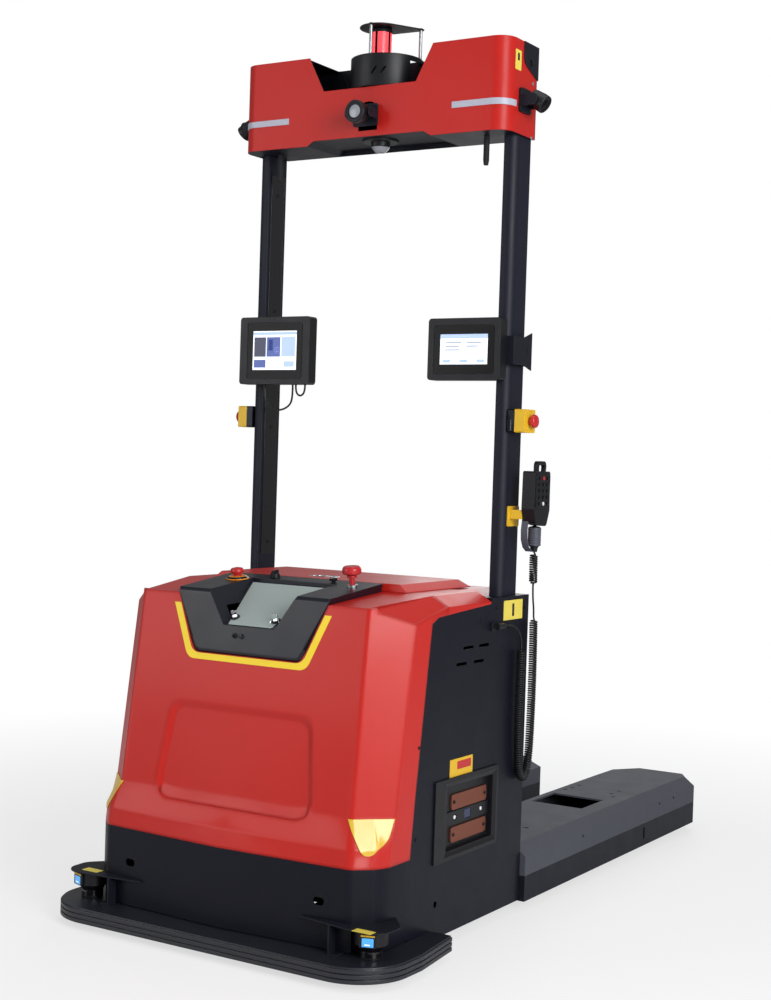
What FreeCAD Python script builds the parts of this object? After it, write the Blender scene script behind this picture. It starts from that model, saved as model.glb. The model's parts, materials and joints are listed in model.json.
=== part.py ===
import FreeCAD, Part
import math
import os
import Sketcher

# Autonomous low-lift platform truck: a driven body with a red nose cover, two
# forward-reaching load legs with lifting decks, and a sensor gantry on two masts.
# Millimetres. +Z is up, the nose points along -Y and the legs reach along +Y.
# Outlines are drawn with y measured from the front face of the gantry; every
# sub-part's Placement then moves it back by datum_depth, so that the part's
# origin lies on the floor in the middle of its overall length and width.

Vector = FreeCAD.Vector
document = FreeCAD.newDocument("PlatformTruck")
sheet = document.addObject("Spreadsheet::Sheet", "Sizes")
NODES = {}


# ------------------------------------------------------------------ sizes
class Size:
    """A number that also knows the sheet expression it comes from."""

    def __init__(self, value, text):
        self.value = float(value)
        self.text = text

    def __add__(self, other):
        return Size(self.value + number(other), "(%s + %s)" % (self.text, words(other)))

    def __radd__(self, other):
        return Size(number(other) + self.value, "(%s + %s)" % (words(other), self.text))

    def __sub__(self, other):
        return Size(self.value - number(other), "(%s - %s)" % (self.text, words(other)))

    def __rsub__(self, other):
        return Size(number(other) - self.value, "(%s - %s)" % (words(other), self.text))

    def __mul__(self, other):
        return Size(self.value * number(other), "(%s * %s)" % (self.text, words(other)))

    def __rmul__(self, other):
        return self * other

    def __truediv__(self, other):
        return Size(self.value / number(other), "(%s / %s)" % (self.text, words(other)))

    def __neg__(self):
        return Size(-self.value, "(-1 * %s)" % self.text)


def number(item):
    """The plain number of a Size or a number."""
    return item.value if isinstance(item, Size) else float(item)


def words(item):
    """The expression text of a Size or a number."""
    return item.text if isinstance(item, Size) else "%.6g" % item


def size(name, value):
    """Write one driving dimension in the sheet and give it back as a Size."""
    size.row += 1
    cell = "B%d" % size.row
    sheet.set("A%d" % size.row, name)
    sheet.set(cell, "%.6g" % value)
    sheet.setAlias(cell, name)
    return Size(value, "Sizes.%s" % name)


size.row = 0


def bind(thing, name, item):
    """Give a property a Size by expression, or a plain number."""
    if isinstance(item, Size) or "." in name:
        thing.setExpression(name, words(item))
    elif "[" not in name:
        setattr(thing, name, item)


# ------------------------------------------------------------------ sketches
class Circle:
    """A round loop for a sketch."""

    def __init__(self, x, y, radius):
        self.x = x
        self.y = y
        self.radius = radius


def box(x_low, y_low, x_high, y_high, radius=None):
    """A rectangular outline, its corners rounded where a radius is given."""
    corners = [(x_low, y_low), (x_high, y_low), (x_high, y_high), (x_low, y_high)]
    return [corner + (radius,) for corner in corners] if radius is not None else corners


def both_sides(half):
    """A closed outline from its right half, listed from bottom to top or round the right side."""
    return half + [(-point[0],) + tuple(point[1:]) for point in reversed(half)]


def add_circle(sketch, loop):
    """Draw a circle whose centre and radius follow their sizes."""
    centre = Vector(number(loop.x), number(loop.y), 0)
    index = sketch.addGeometry(Part.Circle(centre, Vector(0, 0, 1), number(loop.radius)), False)
    for kind, item in (("DistanceX", loop.x), ("DistanceY", loop.y)):
        place_point(sketch, kind, index, 3, item)
    mark = sketch.addConstraint(Sketcher.Constraint("Radius", index, number(loop.radius)))
    bind(sketch, "Constraints[%d]" % mark, loop.radius)


def place_point(sketch, kind, index, end, item):
    """Hold one coordinate of a point at a size measured from the sketch's origin."""
    mark = sketch.addConstraint(Sketcher.Constraint(kind, -1, 1, index, end, number(item)))
    if isinstance(item, Size):
        bind(sketch, "Constraints[%d]" % mark, item)


def add_outline(sketch, points):
    """Draw a closed outline; a point with a third value is rounded to that radius."""
    count = len(points)
    flat = [Vector(number(point[0]), number(point[1]), 0) for point in points]
    radii = [number(point[2]) if len(point) > 2 and point[2] else 0.0 for point in points]
    before, after = [], []
    for i in range(count):
        reach = 0.0
        to_last = (flat[i - 1] - flat[i]).normalize()
        to_next = (flat[(i + 1) % count] - flat[i]).normalize()
        if radii[i]:
            half_turn = (math.pi - to_last.getAngle(to_next)) / 2
            reach = radii[i] * math.tan(half_turn)
        before.append(flat[i] + to_last * reach)
        after.append(flat[i] + to_next * reach)
    lines = []
    for i in range(count):
        line = Part.LineSegment(after[i], before[(i + 1) % count])
        lines.append(sketch.addGeometry(line, False))
    for i in range(count):
        last, following = lines[i - 1], lines[i]
        if radii[i]:
            round_corner(sketch, points[i], flat[i], radii[i], before[i], after[i], last, following)
        else:
            sketch.addConstraint(Sketcher.Constraint("Coincident", last, 2, following, 1))
            place_point(sketch, "DistanceX", following, 1, points[i][0])
            place_point(sketch, "DistanceY", following, 1, points[i][1])


def round_corner(sketch, point, corner, radius, start, end, last, following):
    """Join two lines by a tangent arc whose sharp corner stays at its sizes."""
    inward = ((start + end) / 2 - corner).normalize()
    centre = corner + inward * math.hypot(radius, (start - corner).Length)
    turns_left = (start - centre).cross(end - centre).z > 0
    low, high = (start, end) if turns_left else (end, start)
    angles = [math.atan2(spot.y - centre.y, spot.x - centre.x) for spot in (low, high)]
    circle = Part.Circle(centre, Vector(0, 0, 1), radius)
    arc = sketch.addGeometry(Part.ArcOfCircle(circle, angles[0], angles[1]), False)
    first_end, second_end = (1, 2) if turns_left else (2, 1)
    sketch.addConstraint(Sketcher.Constraint("Tangent", last, 2, arc, first_end))
    sketch.addConstraint(Sketcher.Constraint("Tangent", following, 1, arc, second_end))
    mark = sketch.addConstraint(Sketcher.Constraint("Radius", arc, radius))
    bind(sketch, "Constraints[%d]" % mark, point[2])
    spot = sketch.addGeometry(Part.Point(corner), True)
    sketch.addConstraint(Sketcher.Constraint("PointOnObject", spot, 1, last))
    sketch.addConstraint(Sketcher.Constraint("PointOnObject", spot, 1, following))
    place_point(sketch, "DistanceX", spot, 1, point[0])
    place_point(sketch, "DistanceY", spot, 1, point[1])


def draw(body, plane, loops, level=0.0):
    """Sketch loops on one of the body's own planes, lifted along that plane's axis."""
    role = {"XY": "XY_Plane", "XZ": "XZ_Plane", "YZ": "YZ_Plane"}[plane]
    support = [item for item in body.Origin.OriginFeatures if item.Role == role][0]
    sketch = body.newObject("Sketcher::SketchObject", "Outline")
    sketch.AttachmentSupport = (support, [""])
    sketch.MapMode = "FlatFace"
    bind(sketch, ".AttachmentOffset.Base.z", -1 * level if plane == "XZ" else 1 * level)
    for loop in loops:
        if isinstance(loop, Circle):
            add_circle(sketch, loop)
        else:
            add_outline(sketch, loop)
    return sketch


# ------------------------------------------------------------------ features
def new_body(label):
    """Start the sub-part of that name."""
    body = document.addObject("PartDesign::Body", "Body")
    body.Label = label
    return body


def settle(body, feature, cuts, before):
    """Recompute a feature and stop if a cut took nothing away."""
    body.Tip = feature
    document.recompute()
    if cuts and abs(before - feature.Shape.Volume) < 1e-3:
        raise ValueError("%s: %s removed nothing" % (body.Label, feature.Name))
    return feature


def extrude(body, plane, loops, start, end, cuts=False):
    """Pad or pocket loops between two levels along the plane's axis (X, Y or Z)."""
    before = body.Tip.Shape.Volume if cuts else 0.0
    sketch = draw(body, plane, loops, start)
    kind = "PartDesign::Pocket" if cuts else "PartDesign::Pad"
    feature = body.newObject(kind, "Cut" if cuts else "Block")
    feature.Profile = sketch
    feature.Reversed = (plane == "XZ") != cuts
    bind(feature, "Length", end - start if isinstance(end - start, Size) else float(end - start))
    return settle(body, feature, cuts, before)


def pad(body, plane, loops, start, end):
    """Add material between two levels."""
    return extrude(body, plane, loops, start, end)


def pocket(body, plane, loops, start, end):
    """Take material away between two levels."""
    return extrude(body, plane, loops, start, end, True)


def loft(body, plane, sections, cuts=False):
    """Join outlines at several levels by flat-sided walls."""
    before = body.Tip.Shape.Volume if cuts else 0.0
    sketches = [draw(body, plane, [outline], level) for level, outline in sections]
    kind = "PartDesign::SubtractiveLoft" if cuts else "PartDesign::AdditiveLoft"
    feature = body.newObject(kind, "Loft")
    feature.Profile = sketches[0]
    feature.Sections = sketches[1:]
    feature.Ruled = True
    return settle(body, feature, cuts, before)


def turn(body, half_outline, cuts=False):
    """Revolve a half outline (radius, height) about the body's own Z axis."""
    before = body.Tip.Shape.Volume if cuts else 0.0
    sketch = draw(body, "XZ", [half_outline])
    kind = "PartDesign::Groove" if cuts else "PartDesign::Revolution"
    feature = body.newObject(kind, "Turned")
    feature.Profile = sketch
    feature.ReferenceAxis = (sketch, ["V_Axis"])
    feature.Angle = 360
    return settle(body, feature, cuts, before)


def dress(body, kind, picks, amount):
    """Fillet or chamfer the edges of the tip that a test picks."""
    tip = body.Tip
    names = []
    for i, edge in enumerate(tip.Shape.Edges):
        if picks(edge):
            names.append("Edge%d" % (i + 1))
    if not names:
        raise ValueError("%s: no edge to %s" % (body.Label, kind))
    feature = body.newObject("PartDesign::%s" % kind, kind)
    feature.Base = (tip, names)
    bind(feature, "Radius" if kind == "Fillet" else "Size", amount)
    return settle(body, feature, False, 0.0)


def fillet(body, picks, amount):
    """Round the edges that a test picks."""
    return dress(body, "Fillet", picks, amount)


def on_plane(axis, level):
    """A test for edges that lie wholly at one level of an axis."""
    def picks(edge):
        bounds = edge.BoundBox
        low = (bounds.XMin, bounds.YMin, bounds.ZMin)[axis]
        high = (bounds.XMax, bounds.YMax, bounds.ZMax)[axis]
        return abs(low - number(level)) < 1e-3 and abs(high - number(level)) < 1e-3
    return picks


def along(axis, length_over=1.0):
    """A test for straight edges that run along one axis."""
    def picks(edge):
        bounds = edge.BoundBox
        spans = (bounds.XLength, bounds.YLength, bounds.ZLength)
        others = [span for i, span in enumerate(spans) if i != axis]
        return spans[axis] > length_over and max(others) < 1e-3
    return picks


def place(body, x=0.0, y=0.0, z=0.0, axis=None, angle=0.0):
    """Set a sub-part's Placement, with y measured from the gantry's front face."""
    if axis is not None:
        body.Placement = FreeCAD.Placement(Vector(0, 0, 0), FreeCAD.Rotation(Vector(*axis), number(angle)))
    bind(body, ".Placement.Base.x", x)
    bind(body, ".Placement.Base.y", y - datum_depth)
    bind(body, ".Placement.Base.z", z)


def keep(label, thing):
    """File a finished object under its node's name."""
    thing.Label = label
    NODES[label] = thing
    return thing


def mirrored(source):
    """The object's image on the other side of the middle plane."""
    image = document.addObject("Part::Mirroring", "Mirrored")
    image.Source = source
    image.Base = Vector(0, 0, 0)
    image.Normal = Vector(1, 0, 0)
    return image


def grouped(label, things):
    """Several solids that share one node."""
    compound = document.addObject("Part::Compound", "Group")
    compound.Links = things
    return keep(label, compound)


def pair(label, source):
    """A right-hand piece and its image as one node."""
    return grouped(label, [source, mirrored(source)])


# ------------------------------------------------------------------ driving sizes
datum_depth = size("datum_depth", 470.5)
fit_gap = size("fit_gap", 0.4)
sheet_wall = size("sheet_wall", 4)

body_half = size("body_half", 465)
body_rear = size("body_rear", 226)
body_bottom = size("body_bottom", 33)
hood_seam = size("hood_seam", -244.5)
hood_height = size("hood_height", 946)
shoulder_inset = size("shoulder_inset", 49)
shoulder_half = body_half - shoulder_inset
shoulder_height = size("shoulder_height", 918.7)
neck_inset = size("neck_inset", 60)
neck_half = body_half - neck_inset
neck_front = size("neck_front", 2)

base_height = size("base_height", 45)
base_plate = size("base_plate", 12)
base_inset = size("base_inset", 35)
base_half = body_half - base_inset
base_front = size("base_front", -565)
rib_wall = size("rib_wall", 10)
wall_height = size("wall_height", 300)
bulkhead_front = size("bulkhead_front", 200)
bulkhead_height = size("bulkhead_height", 900)

caster_inset = size("caster_inset", 100)
caster_across = base_half - caster_inset
caster_along = size("caster_along", -430)
caster_radius = size("caster_radius", 50)
caster_trail = size("caster_trail", 32)
caster_shelf = size("caster_shelf", 132)
drive_along = size("drive_along", -330)
drive_radius = size("drive_radius", 100)
bridge_height = size("bridge_height", 222)
turret_hub = size("turret_hub", 80)

mast_inset = size("mast_inset", 16)
mast_width = size("mast_width", 40)
mast_outer = body_half - mast_inset
mast_inner = mast_outer - mast_width
mast_front = size("mast_front", 81)
mast_rear = size("mast_rear", 176)
mast_round = size("mast_round", 26)

gantry_overhang = size("gantry_overhang", 9)
gantry_half = mast_outer + gantry_overhang
gantry_depth = size("gantry_depth", 175)
gantry_bottom = size("gantry_bottom", 2237)
gantry_height = size("gantry_height", 2500)
gantry_round = size("gantry_round", 50)
gantry_wall = size("gantry_wall", 3)
cover_wall = size("cover_wall", 3)
notch_half = size("notch_half", 213.4)
notch_floor_half = size("notch_floor_half", 159)
notch_floor = size("notch_floor", 2396)
centre_lift = size("centre_lift", 14)
beam_low = size("beam_low", 2290)
beam_high = size("beam_high", 2370)
beam_front = size("beam_front", 86)
beam_rear = size("beam_rear", 171)

lidar_along = size("lidar_along", 59)
lidar_guard = size("lidar_guard", 112)
guard_height = size("guard_height", 119)
guard_wall = size("guard_wall", 4)
lidar_top = notch_floor + guard_height
hat_gap = size("hat_gap", 82)
lidar_hat = lidar_top + hat_gap
drum_base = size("drum_base", 122)
rotor_radius = size("rotor_radius", 33)

leg_outer = size("leg_outer", 480)
leg_inner = size("leg_inner", 117)
leg_tip = size("leg_tip", 1641)
leg_bottom = size("leg_bottom", 28)
leg_split = size("leg_split", 103)
deck_start = size("deck_start", 232.5)
deck_height = size("deck_height", 190)
deck_edge = size("deck_edge", 161)
deck_skin = size("deck_skin", 6)
load_wheel_radius = size("load_wheel_radius", 42)
load_wheel_along = size("load_wheel_along", 1440)
load_wheel_across = size("load_wheel_across", 300)
load_axle = size("load_axle", 10)

skirt_front = size("skirt_front", -700)
skirt_reach = size("skirt_reach", 90)
skirt_half = body_half + skirt_reach
skirt_low = size("skirt_low", 20)
skirt_high = size("skirt_high", 60)
apron_high = size("apron_high", 272)
scanner_inset = size("scanner_inset", 3)
scanner_across = body_half - scanner_inset
scanner_along = size("scanner_along", -579)
shield_height = size("shield_height", 134)


hatch_half = size("hatch_half", 330)
hatch_rear = size("hatch_rear", 120)
port_front = size("port_front", -225)
port_rear = size("port_rear", 45)
port_low = size("port_low", 252)
port_high = size("port_high", 436)
port_collar = size("port_collar", 5)
recess_depth = size("recess_depth", 7)
recess_low = size("recess_low", 367)
recess_high = size("recess_high", 632)
hinge_along = size("hinge_along", 118)
hinge_height = size("hinge_height", 955)
hinge_radius = size("hinge_radius", 6)


# ------------------------------------------------------------------ chassis
def slab(label, outline, low, high, plane="XY"):
    """A placed plate of one outline between two levels."""
    body = new_body(label)
    pad(body, plane, [outline], low, high)
    place(body)
    return body


def make_chassis():
    """Welded base, open below the drive bay: floor, walls, nose beam, shelves, bridge and bulkhead."""
    top = base_height + base_plate
    wall_inner = base_half - rib_wall
    beam_half = base_half - 95
    floor_front = -200
    corner_back = base_front + 90
    plates = [
        slab("floor_plate", box(-base_half, floor_front, base_half, body_rear), base_height, top),
        slab("rear_foot", box(-base_half, bulkhead_front + rib_wall, base_half, body_rear), top, leg_split),
        slab(
            "bulkhead", box(-base_half, bulkhead_front, base_half, bulkhead_front + rib_wall), top,
            bulkhead_height,
        ),
        slab("nose_beam", box(-beam_half, base_front, beam_half, base_front + 15), base_height, top + 60),
    ]
    bridge = new_body("drive_bridge")
    pad(
        bridge, "XY", [box(-wall_inner, drive_along - 130, wall_inner, drive_along + 130)], bridge_height,
        bridge_height + rib_wall,
    )
    pocket(
        bridge, "XY", [Circle(0, drive_along, turret_hub + fit_gap)], bridge_height,
        bridge_height + rib_wall,
    )
    place(bridge)
    plates.append(bridge)
    gusset = [
        (beam_half, base_front), (base_half, corner_back), (base_half, corner_back + 15),
        (beam_half, base_front + 15),
    ]
    wall = slab(
        "side_wall", box(wall_inner, corner_back + 15, base_half, mast_front - 20), top, wall_height,
    )
    corner = slab("corner_gusset", gusset, base_height, top + 60)
    shelf = new_body("caster_shelf")
    shelf_inner = caster_across - 92
    pad(
        shelf, "XY", [box(shelf_inner, caster_along - 92, wall_inner, caster_along + 92)], caster_shelf,
        caster_shelf + rib_wall,
    )
    pocket(
        shelf, "XY", [Circle(caster_across, caster_along, 12 + fit_gap)], caster_shelf,
        caster_shelf + rib_wall,
    )
    place(shelf)
    for half in (wall, corner, shelf):
        plates += [half, mirrored(half)]
    grouped("chassis_frame", plates)


# Each level of the nose: height, front, bow of the middle, set-in of the corner, facet point,
# side, and the radii of the front and side corners.
NOSE_LEVELS = (
    (apron_high, -594, 22, 65, 16, 46, -508, 36, 40),
    (size("flare_height", 320), -590, 14, 67, 18, 46, -506, 36, 40),
    (size("foot_height", 392), -563.9, 0, 84.4, 42, 42, -484, 16, 24),
    (size("nose_reach", 990), -487.9, 0, 93.5, 46, 46, -396, 16, 24),
)
SIDE_EDGE = [(-407, 272), (-390, 426.5), (-329, 879), (-298, 894), (-100, 906.6)]


def nose_outline(shape, inset=0.0):
    """The closed plan of the nose at one level, set in by a wall where it is hollow."""
    front, bow, corner_in, facet_in, facet_back, side, corner_round, side_round = shape
    half = [
        (body_half - corner_in - inset * 0.7, front + inset, corner_round - inset),
        (body_half - facet_in - inset * 0.8, front + facet_back + inset * 0.8, side_round - inset),
        (body_half - inset, side + inset * 0.5),
        (body_half - inset, hood_seam),
    ]
    left = [(-point[0],) + tuple(point[1:]) for point in reversed(half)]
    return [(0, front - bow + inset)] + half + left


def nose_solid(label, inset):
    """The nose as a solid: lofted plans, a sloping top and falling shoulders."""
    body = new_body(label)
    loft(body, "XY", [(level[0], nose_outline(level[1:], inset)) for level in NOSE_LEVELS])
    top = [
        (-700, 904 - inset), (-496.4, 923 - inset), (hood_seam + 1, hood_height - inset),
        (hood_seam + 1, 1100), (-700, 1100),
    ]
    pocket(body, "YZ", [top], -600, 600)
    for side in (1, -1):
        rear = [
            (shoulder_half * side, hood_height - inset), (body_half * side, shoulder_height - inset),
            (600 * side, shoulder_height - 75), (600 * side, 1100), (shoulder_half * side, 1100),
        ]
        ahead = [
            (372 * side, 921 - inset), (body_half * side, 866 - inset),
            (600 * side, 866 - 80), (600 * side, 1100), (372 * side, 1100),
        ]
        loft(body, "XZ", [(-480, ahead), (hood_seam + 1, rear)], cuts=True)
    return body


def nose_skin(label, outside, inside, outlines):
    """The layer between two offsets of the nose's surface, kept only within outlines seen from the front."""
    layers = []
    for name, inset in ((label + "_face", outside), (label + "_back", inside)):
        body = new_body(name)
        loft(body, "XY", [(level[0], nose_outline(level[1:], inset)) for level in NOSE_LEVELS])
        place(body)
        layers.append(body)
    skin = document.addObject("Part::Cut", "NoseLayer")
    skin.Base, skin.Tool = layers
    window = new_body(label + "_window")
    pad(window, "XZ", outlines, -640, -470)
    place(window)
    layer = document.addObject("Part::Common", "NosePatch")
    layer.Base = skin
    layer.Tool = window
    return layer


def recess_outline(margin=0.0):
    """The rounded, tapering recess on the nose's face, grown by a margin."""
    half = [
        (264 + margin, recess_low - margin, 50 + margin),
        (232 + margin, recess_high + margin, 40 + margin),
    ]
    return both_sides(half)


def console_outline(margin=0.0):
    """The console's tapered front outline, with rounded lower corners."""
    right = [
        (172 + margin, 768 - margin, 20), (190 + margin, 796, 30),
        (247 + margin, 927), (262 + margin, 1000),
    ]
    return both_sides(right)


def make_front_cover():
    """Red nose moulding, open below and behind, with a gap for the control console."""
    outer = nose_solid("nose_outside", 0.0)
    pocket(outer, "XZ", [console_outline(fit_gap)], -600, hood_seam + 1)
    below = SIDE_EDGE + [(-100, 200), (-407, 200)]
    pocket(outer, "YZ", [below], -600, 600)
    place(outer)
    inner = nose_solid("nose_inside", sheet_wall)
    place(inner)
    face = document.addObject("Part::Cut", "RecessedFace")
    face.Base = outer
    face.Tool = nose_skin("recess", -2.0, recess_depth, [recess_outline()])
    hollow = document.addObject("Part::Cut", "RecessedHollow")
    hollow.Base = inner
    hollow.Tool = nose_skin("recess_wall", -2.0, recess_depth + sheet_wall, [recess_outline(sheet_wall)])
    cover = document.addObject("Part::Cut", "NoseShell")
    cover.Base = face
    cover.Tool = hollow
    keep("front_cover", cover)


def make_front_apron():
    """Black plate skirt below the nose, cut out over each scanner and bored for tie-down hooks."""
    body = new_body("front_apron")
    shape = NOSE_LEVELS[0][1:]
    outer = [point if abs(number(point[1]) - hood_seam.value) > 1 else (point[0], -407) for point in nose_outline(shape)]
    inner = [point if abs(number(point[1]) - hood_seam.value) > 1 else (point[0], -406) for point in nose_outline(shape, sheet_wall)]
    foot = skirt_high + 2
    pad(body, "XY", [outer], foot, apron_high)
    pocket(body, "XY", [inner], foot, apron_high)
    for side in (1, -1):
        pocket(body, "XY", [Circle(scanner_across * side, scanner_along, 56)], foot, shield_height)
        hook = box(312 * side - 16, 170, 312 * side + 16, 190, 9)
        pocket(body, "XZ", [hook], -640, -560)
    place(body)
    keep("front_apron", body)


KNUCKLE = 36
HATCH_KNUCKLES = (-216, 180)
HOOD_KNUCKLES = (-253, -179, 143, 217)


def make_rear_hood():
    """Red top behind the nose: full width to the masts, then narrow between them, open for the hatch."""
    body = new_body("rear_hood")
    under = hood_height - sheet_wall
    wide = [
        (body_half - sheet_wall, 890), (body_half, 890), (body_half, shoulder_height),
        (shoulder_half, hood_height),
    ]
    inside = [(body_half - sheet_wall, shoulder_height - 2.5), (shoulder_half - 1, under)]
    pad(
        body, "XZ",
        [wide + [(-x, y) for x, y in reversed(wide)] + [(-x, y) for x, y in inside] + list(reversed(inside))],
        hood_seam, 0,
    )
    pocket(
        body, "YZ", [[(-300, 893.9), (-5.5, 913), (neck_front, 929), (neck_front, 800), (-300, 800)]],
        -600, 600,
    )
    narrow = [(neck_half, 912), (neck_half, 921), (351, 943)]
    lining = [(neck_half - 4, 912), (350, 939)]
    loop = narrow + [(-x, y) for x, y in reversed(narrow)] + [(-x, y) for x, y in lining] + list(reversed(lining))
    pad(body, "XZ", [loop], 0, bulkhead_front + rib_wall)
    hole = box(-hatch_half + 25, hood_seam + 30, hatch_half - 25, hatch_rear - 30)
    pocket(body, "XY", [hole], 900, 1000)
    foot = box(hinge_along - hinge_radius, 943, hinge_along + hinge_radius, hinge_height)
    for start in HOOD_KNUCKLES:
        pad(body, "YZ", [foot], start, start + KNUCKLE)
        pad(body, "YZ", [Circle(hinge_along, hinge_height, hinge_radius)], start, start + KNUCKLE)
    place(body)
    keep("rear_hood", body)


TOW_HOLE = Circle(-268, 126, 9)
VENT_CORNERS = ((-158, 797), (-68, 797), (-194, 755), (-96, 755))


cap_drop = size("cap_drop", 17)
cap_thick = size("cap_thick", 8)
cap_top = hood_height - cap_drop


def make_side_panels():
    """Black side panels with their caps round the masts; the right one is cut for charging."""
    panels = []
    for side in (1, -1):
        body = new_body("side_panel_right" if side > 0 else "side_panel_left")
        low, high = sorted(((body_half - sheet_wall) * side, body_half * side), key=number)
        face = [
            (-407, body_bottom), (body_rear, body_bottom), (body_rear, cap_top), (neck_front, cap_top),
            (-5.5, cap_top - 16),
        ]
        pad(body, "YZ", [face + list(reversed(SIDE_EDGE[:4]))], low, high)
        shelf_low, shelf_high = sorted((neck_half * side, (body_half - 1) * side), key=number)
        pad(body, "XY", [box(shelf_low, neck_front, shelf_high, body_rear)], cap_top - cap_thick, cap_top)
        well_low, well_high = sorted(
            ((mast_inner - fit_gap) * side, (mast_outer + fit_gap) * side), key=number,
        )
        pocket(
            body, "XY", [box(well_low, mast_front - fit_gap, well_high, mast_rear + fit_gap)],
            cap_top - cap_thick, cap_top,
        )
        rib_low, rib_high = sorted((base_half * side, (body_half - sheet_wall) * side), key=number)
        for level in (base_height, wall_height - rib_wall):
            pad(
                body, "XY", [box(rib_low, base_front + 180, rib_high, mast_front - 30)], level,
                level + rib_wall,
            )
        cut_low, cut_high = sorted((base_half * side, (body_half + 1) * side), key=number)
        pocket(body, "YZ", [TOW_HOLE], cut_low, cut_high)
        if side > 0:
            port = box(port_front, port_low, port_rear, port_high, 8)
            vents = [box(y, z, y + 58, z + 9, 3) for y, z in VENT_CORNERS]
            pocket(body, "YZ", [port] + vents, cut_low, cut_high)
        place(body)
        keep(body.Label, body)


# ------------------------------------------------------------------ console and hatch
def make_console():
    """Black control moulding: raised top, tapered front and a scoop with its tray plate."""
    body = new_body("console_block")
    pad(body, "XZ", [console_outline()], -530, hood_seam)
    above = [
        (-560, 700), (-519, 768), (-498, 930, 8), (-492, 939, 4), (hood_seam, 968), (hood_seam, 1100),
        (-560, 1100),
    ]
    pocket(body, "YZ", [above], -300, 300)
    below = [(hood_seam, 700), (hood_seam, 905), (-460, 895), (-490, 700)]
    pocket(body, "YZ", [below], -300, 300)
    near = [(-80, SCOOP_FRONT[1]), (80, SCOOP_FRONT[1]), (182, 990), (-182, 990)]
    far = [(-140, SCOOP_REAR[1]), (140, SCOOP_REAR[1]), (158, 990), (-158, 990)]
    loft(body, "XZ", [(SCOOP_FRONT[0], near), (SCOOP_REAR[0], far)], cuts=True)
    pad(body, "XZ", [Circle(-42, 820, 7), Circle(-20, 820, 7)], -516, -505)
    place(body)
    drills = []
    for spot, radius in ((CONSOLE_STOP, 11), (START, 6), (DISCONNECT, 8), (KNOB, 6)):
        drill = new_body("control_hole")
        pad(drill, "XY", [Circle(0, 0, radius + fit_gap)], -44, 10)
        place_on_console(drill, spot, 0)
        drills.append(drill)
    holes = document.addObject("Part::MultiFuse", "ControlHoles")
    holes.Shapes = drills
    panel = document.addObject("Part::Cut", "ConsolePanel")
    panel.Base = body
    panel.Tool = holes
    tray = new_body("tray_plate")
    plate = [(-70, 0), (70, 0), (134, 218), (-134, 218)]
    pad(tray, "XY", [plate], 0, TRAY_PLATE)
    place(
        tray, 0, -506, tray_level(-506) - TRAY_PLATE / math.cos(math.radians(TRAY_ANGLE)), (1, 0, 0),
        TRAY_ANGLE,
    )
    grouped("console_moulding", [panel, tray])


SCOOP_FRONT = (-525, 838)
SCOOP_REAR = (-304, 952)
TRAY_PLATE = 2
TRAY_ANGLE = math.degrees(math.atan2(SCOOP_REAR[1] - SCOOP_FRONT[1], SCOOP_REAR[0] - SCOOP_FRONT[0]))
CONSOLE_TILT = math.degrees(math.atan2(968 - 939, 492 - 244.5))
CONSOLE_STOP = (-172, -335)
KNOB = (-84, -276)
START = (114, -276)
DISCONNECT = (206, -322)
KEYS = ((-68, -478), (68, -478))


def tray_level(y):
    """Height of the tray plate's top at a depth."""
    floor = SCOOP_FRONT[1] + (y - SCOOP_FRONT[0]) * math.tan(math.radians(TRAY_ANGLE))
    return floor + (TRAY_PLATE + 0.3) / math.cos(math.radians(TRAY_ANGLE))


def place_on_console(body, spot, lift):
    """Stand a control square to the console's sloping top, raised along its own axis."""
    x, y = spot
    angle = math.radians(CONSOLE_TILT)
    level = (hood_height - 7).value + (y + 492) * math.tan(angle)
    place(body, x, y - lift * math.sin(angle), level + lift * math.cos(angle), (1, 0, 0), CONSOLE_TILT)


hatch_rise = size("hatch_rise", 22)
hatch_top = hood_height + hatch_rise


def make_hatch():
    """Raised battery lid with a flush handle; it tips up about its rear edge."""
    body = new_body("battery_hatch")
    front = hood_seam + 4
    low = box(-hatch_half, front, hatch_half, hatch_rear)
    high = box(-hatch_half + 26, front + 4, hatch_half - 26, hatch_rear - 30)
    loft(body, "XY", [(hood_height + 0.4, low), (hatch_top, high)])
    hollow = box(-hatch_half + 30, front + 8, hatch_half - 30, hatch_rear - 40)
    pocket(body, "XY", [hollow], hood_height, hatch_top - 5)
    grip = box(-45, -185, 45, -115, 30)
    pocket(body, "XY", [grip], hatch_top - 3.5, hatch_top + 1)
    reach = hinge_radius + 1
    swing = box(hinge_along - reach, hood_height - 6, hinge_along + 20, hinge_height + reach)
    for start in HOOD_KNUCKLES:
        pocket(body, "YZ", [swing], start - 0.5, start + KNUCKLE + 0.5)
    for start in HATCH_KNUCKLES:
        pad(body, "YZ", [Circle(hinge_along, hinge_height, hinge_radius)], start, start + KNUCKLE)
    place(body)
    bar = new_body("hatch_grip")
    pad(
        bar, "XY", [box(-44, -184, 44, -116, 29), box(-32, -172, 32, -128, 18)], hatch_top - 3.5,
        hatch_top + 0.5,
    )
    place(bar)
    grouped("battery_hatch", [body, bar])


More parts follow.
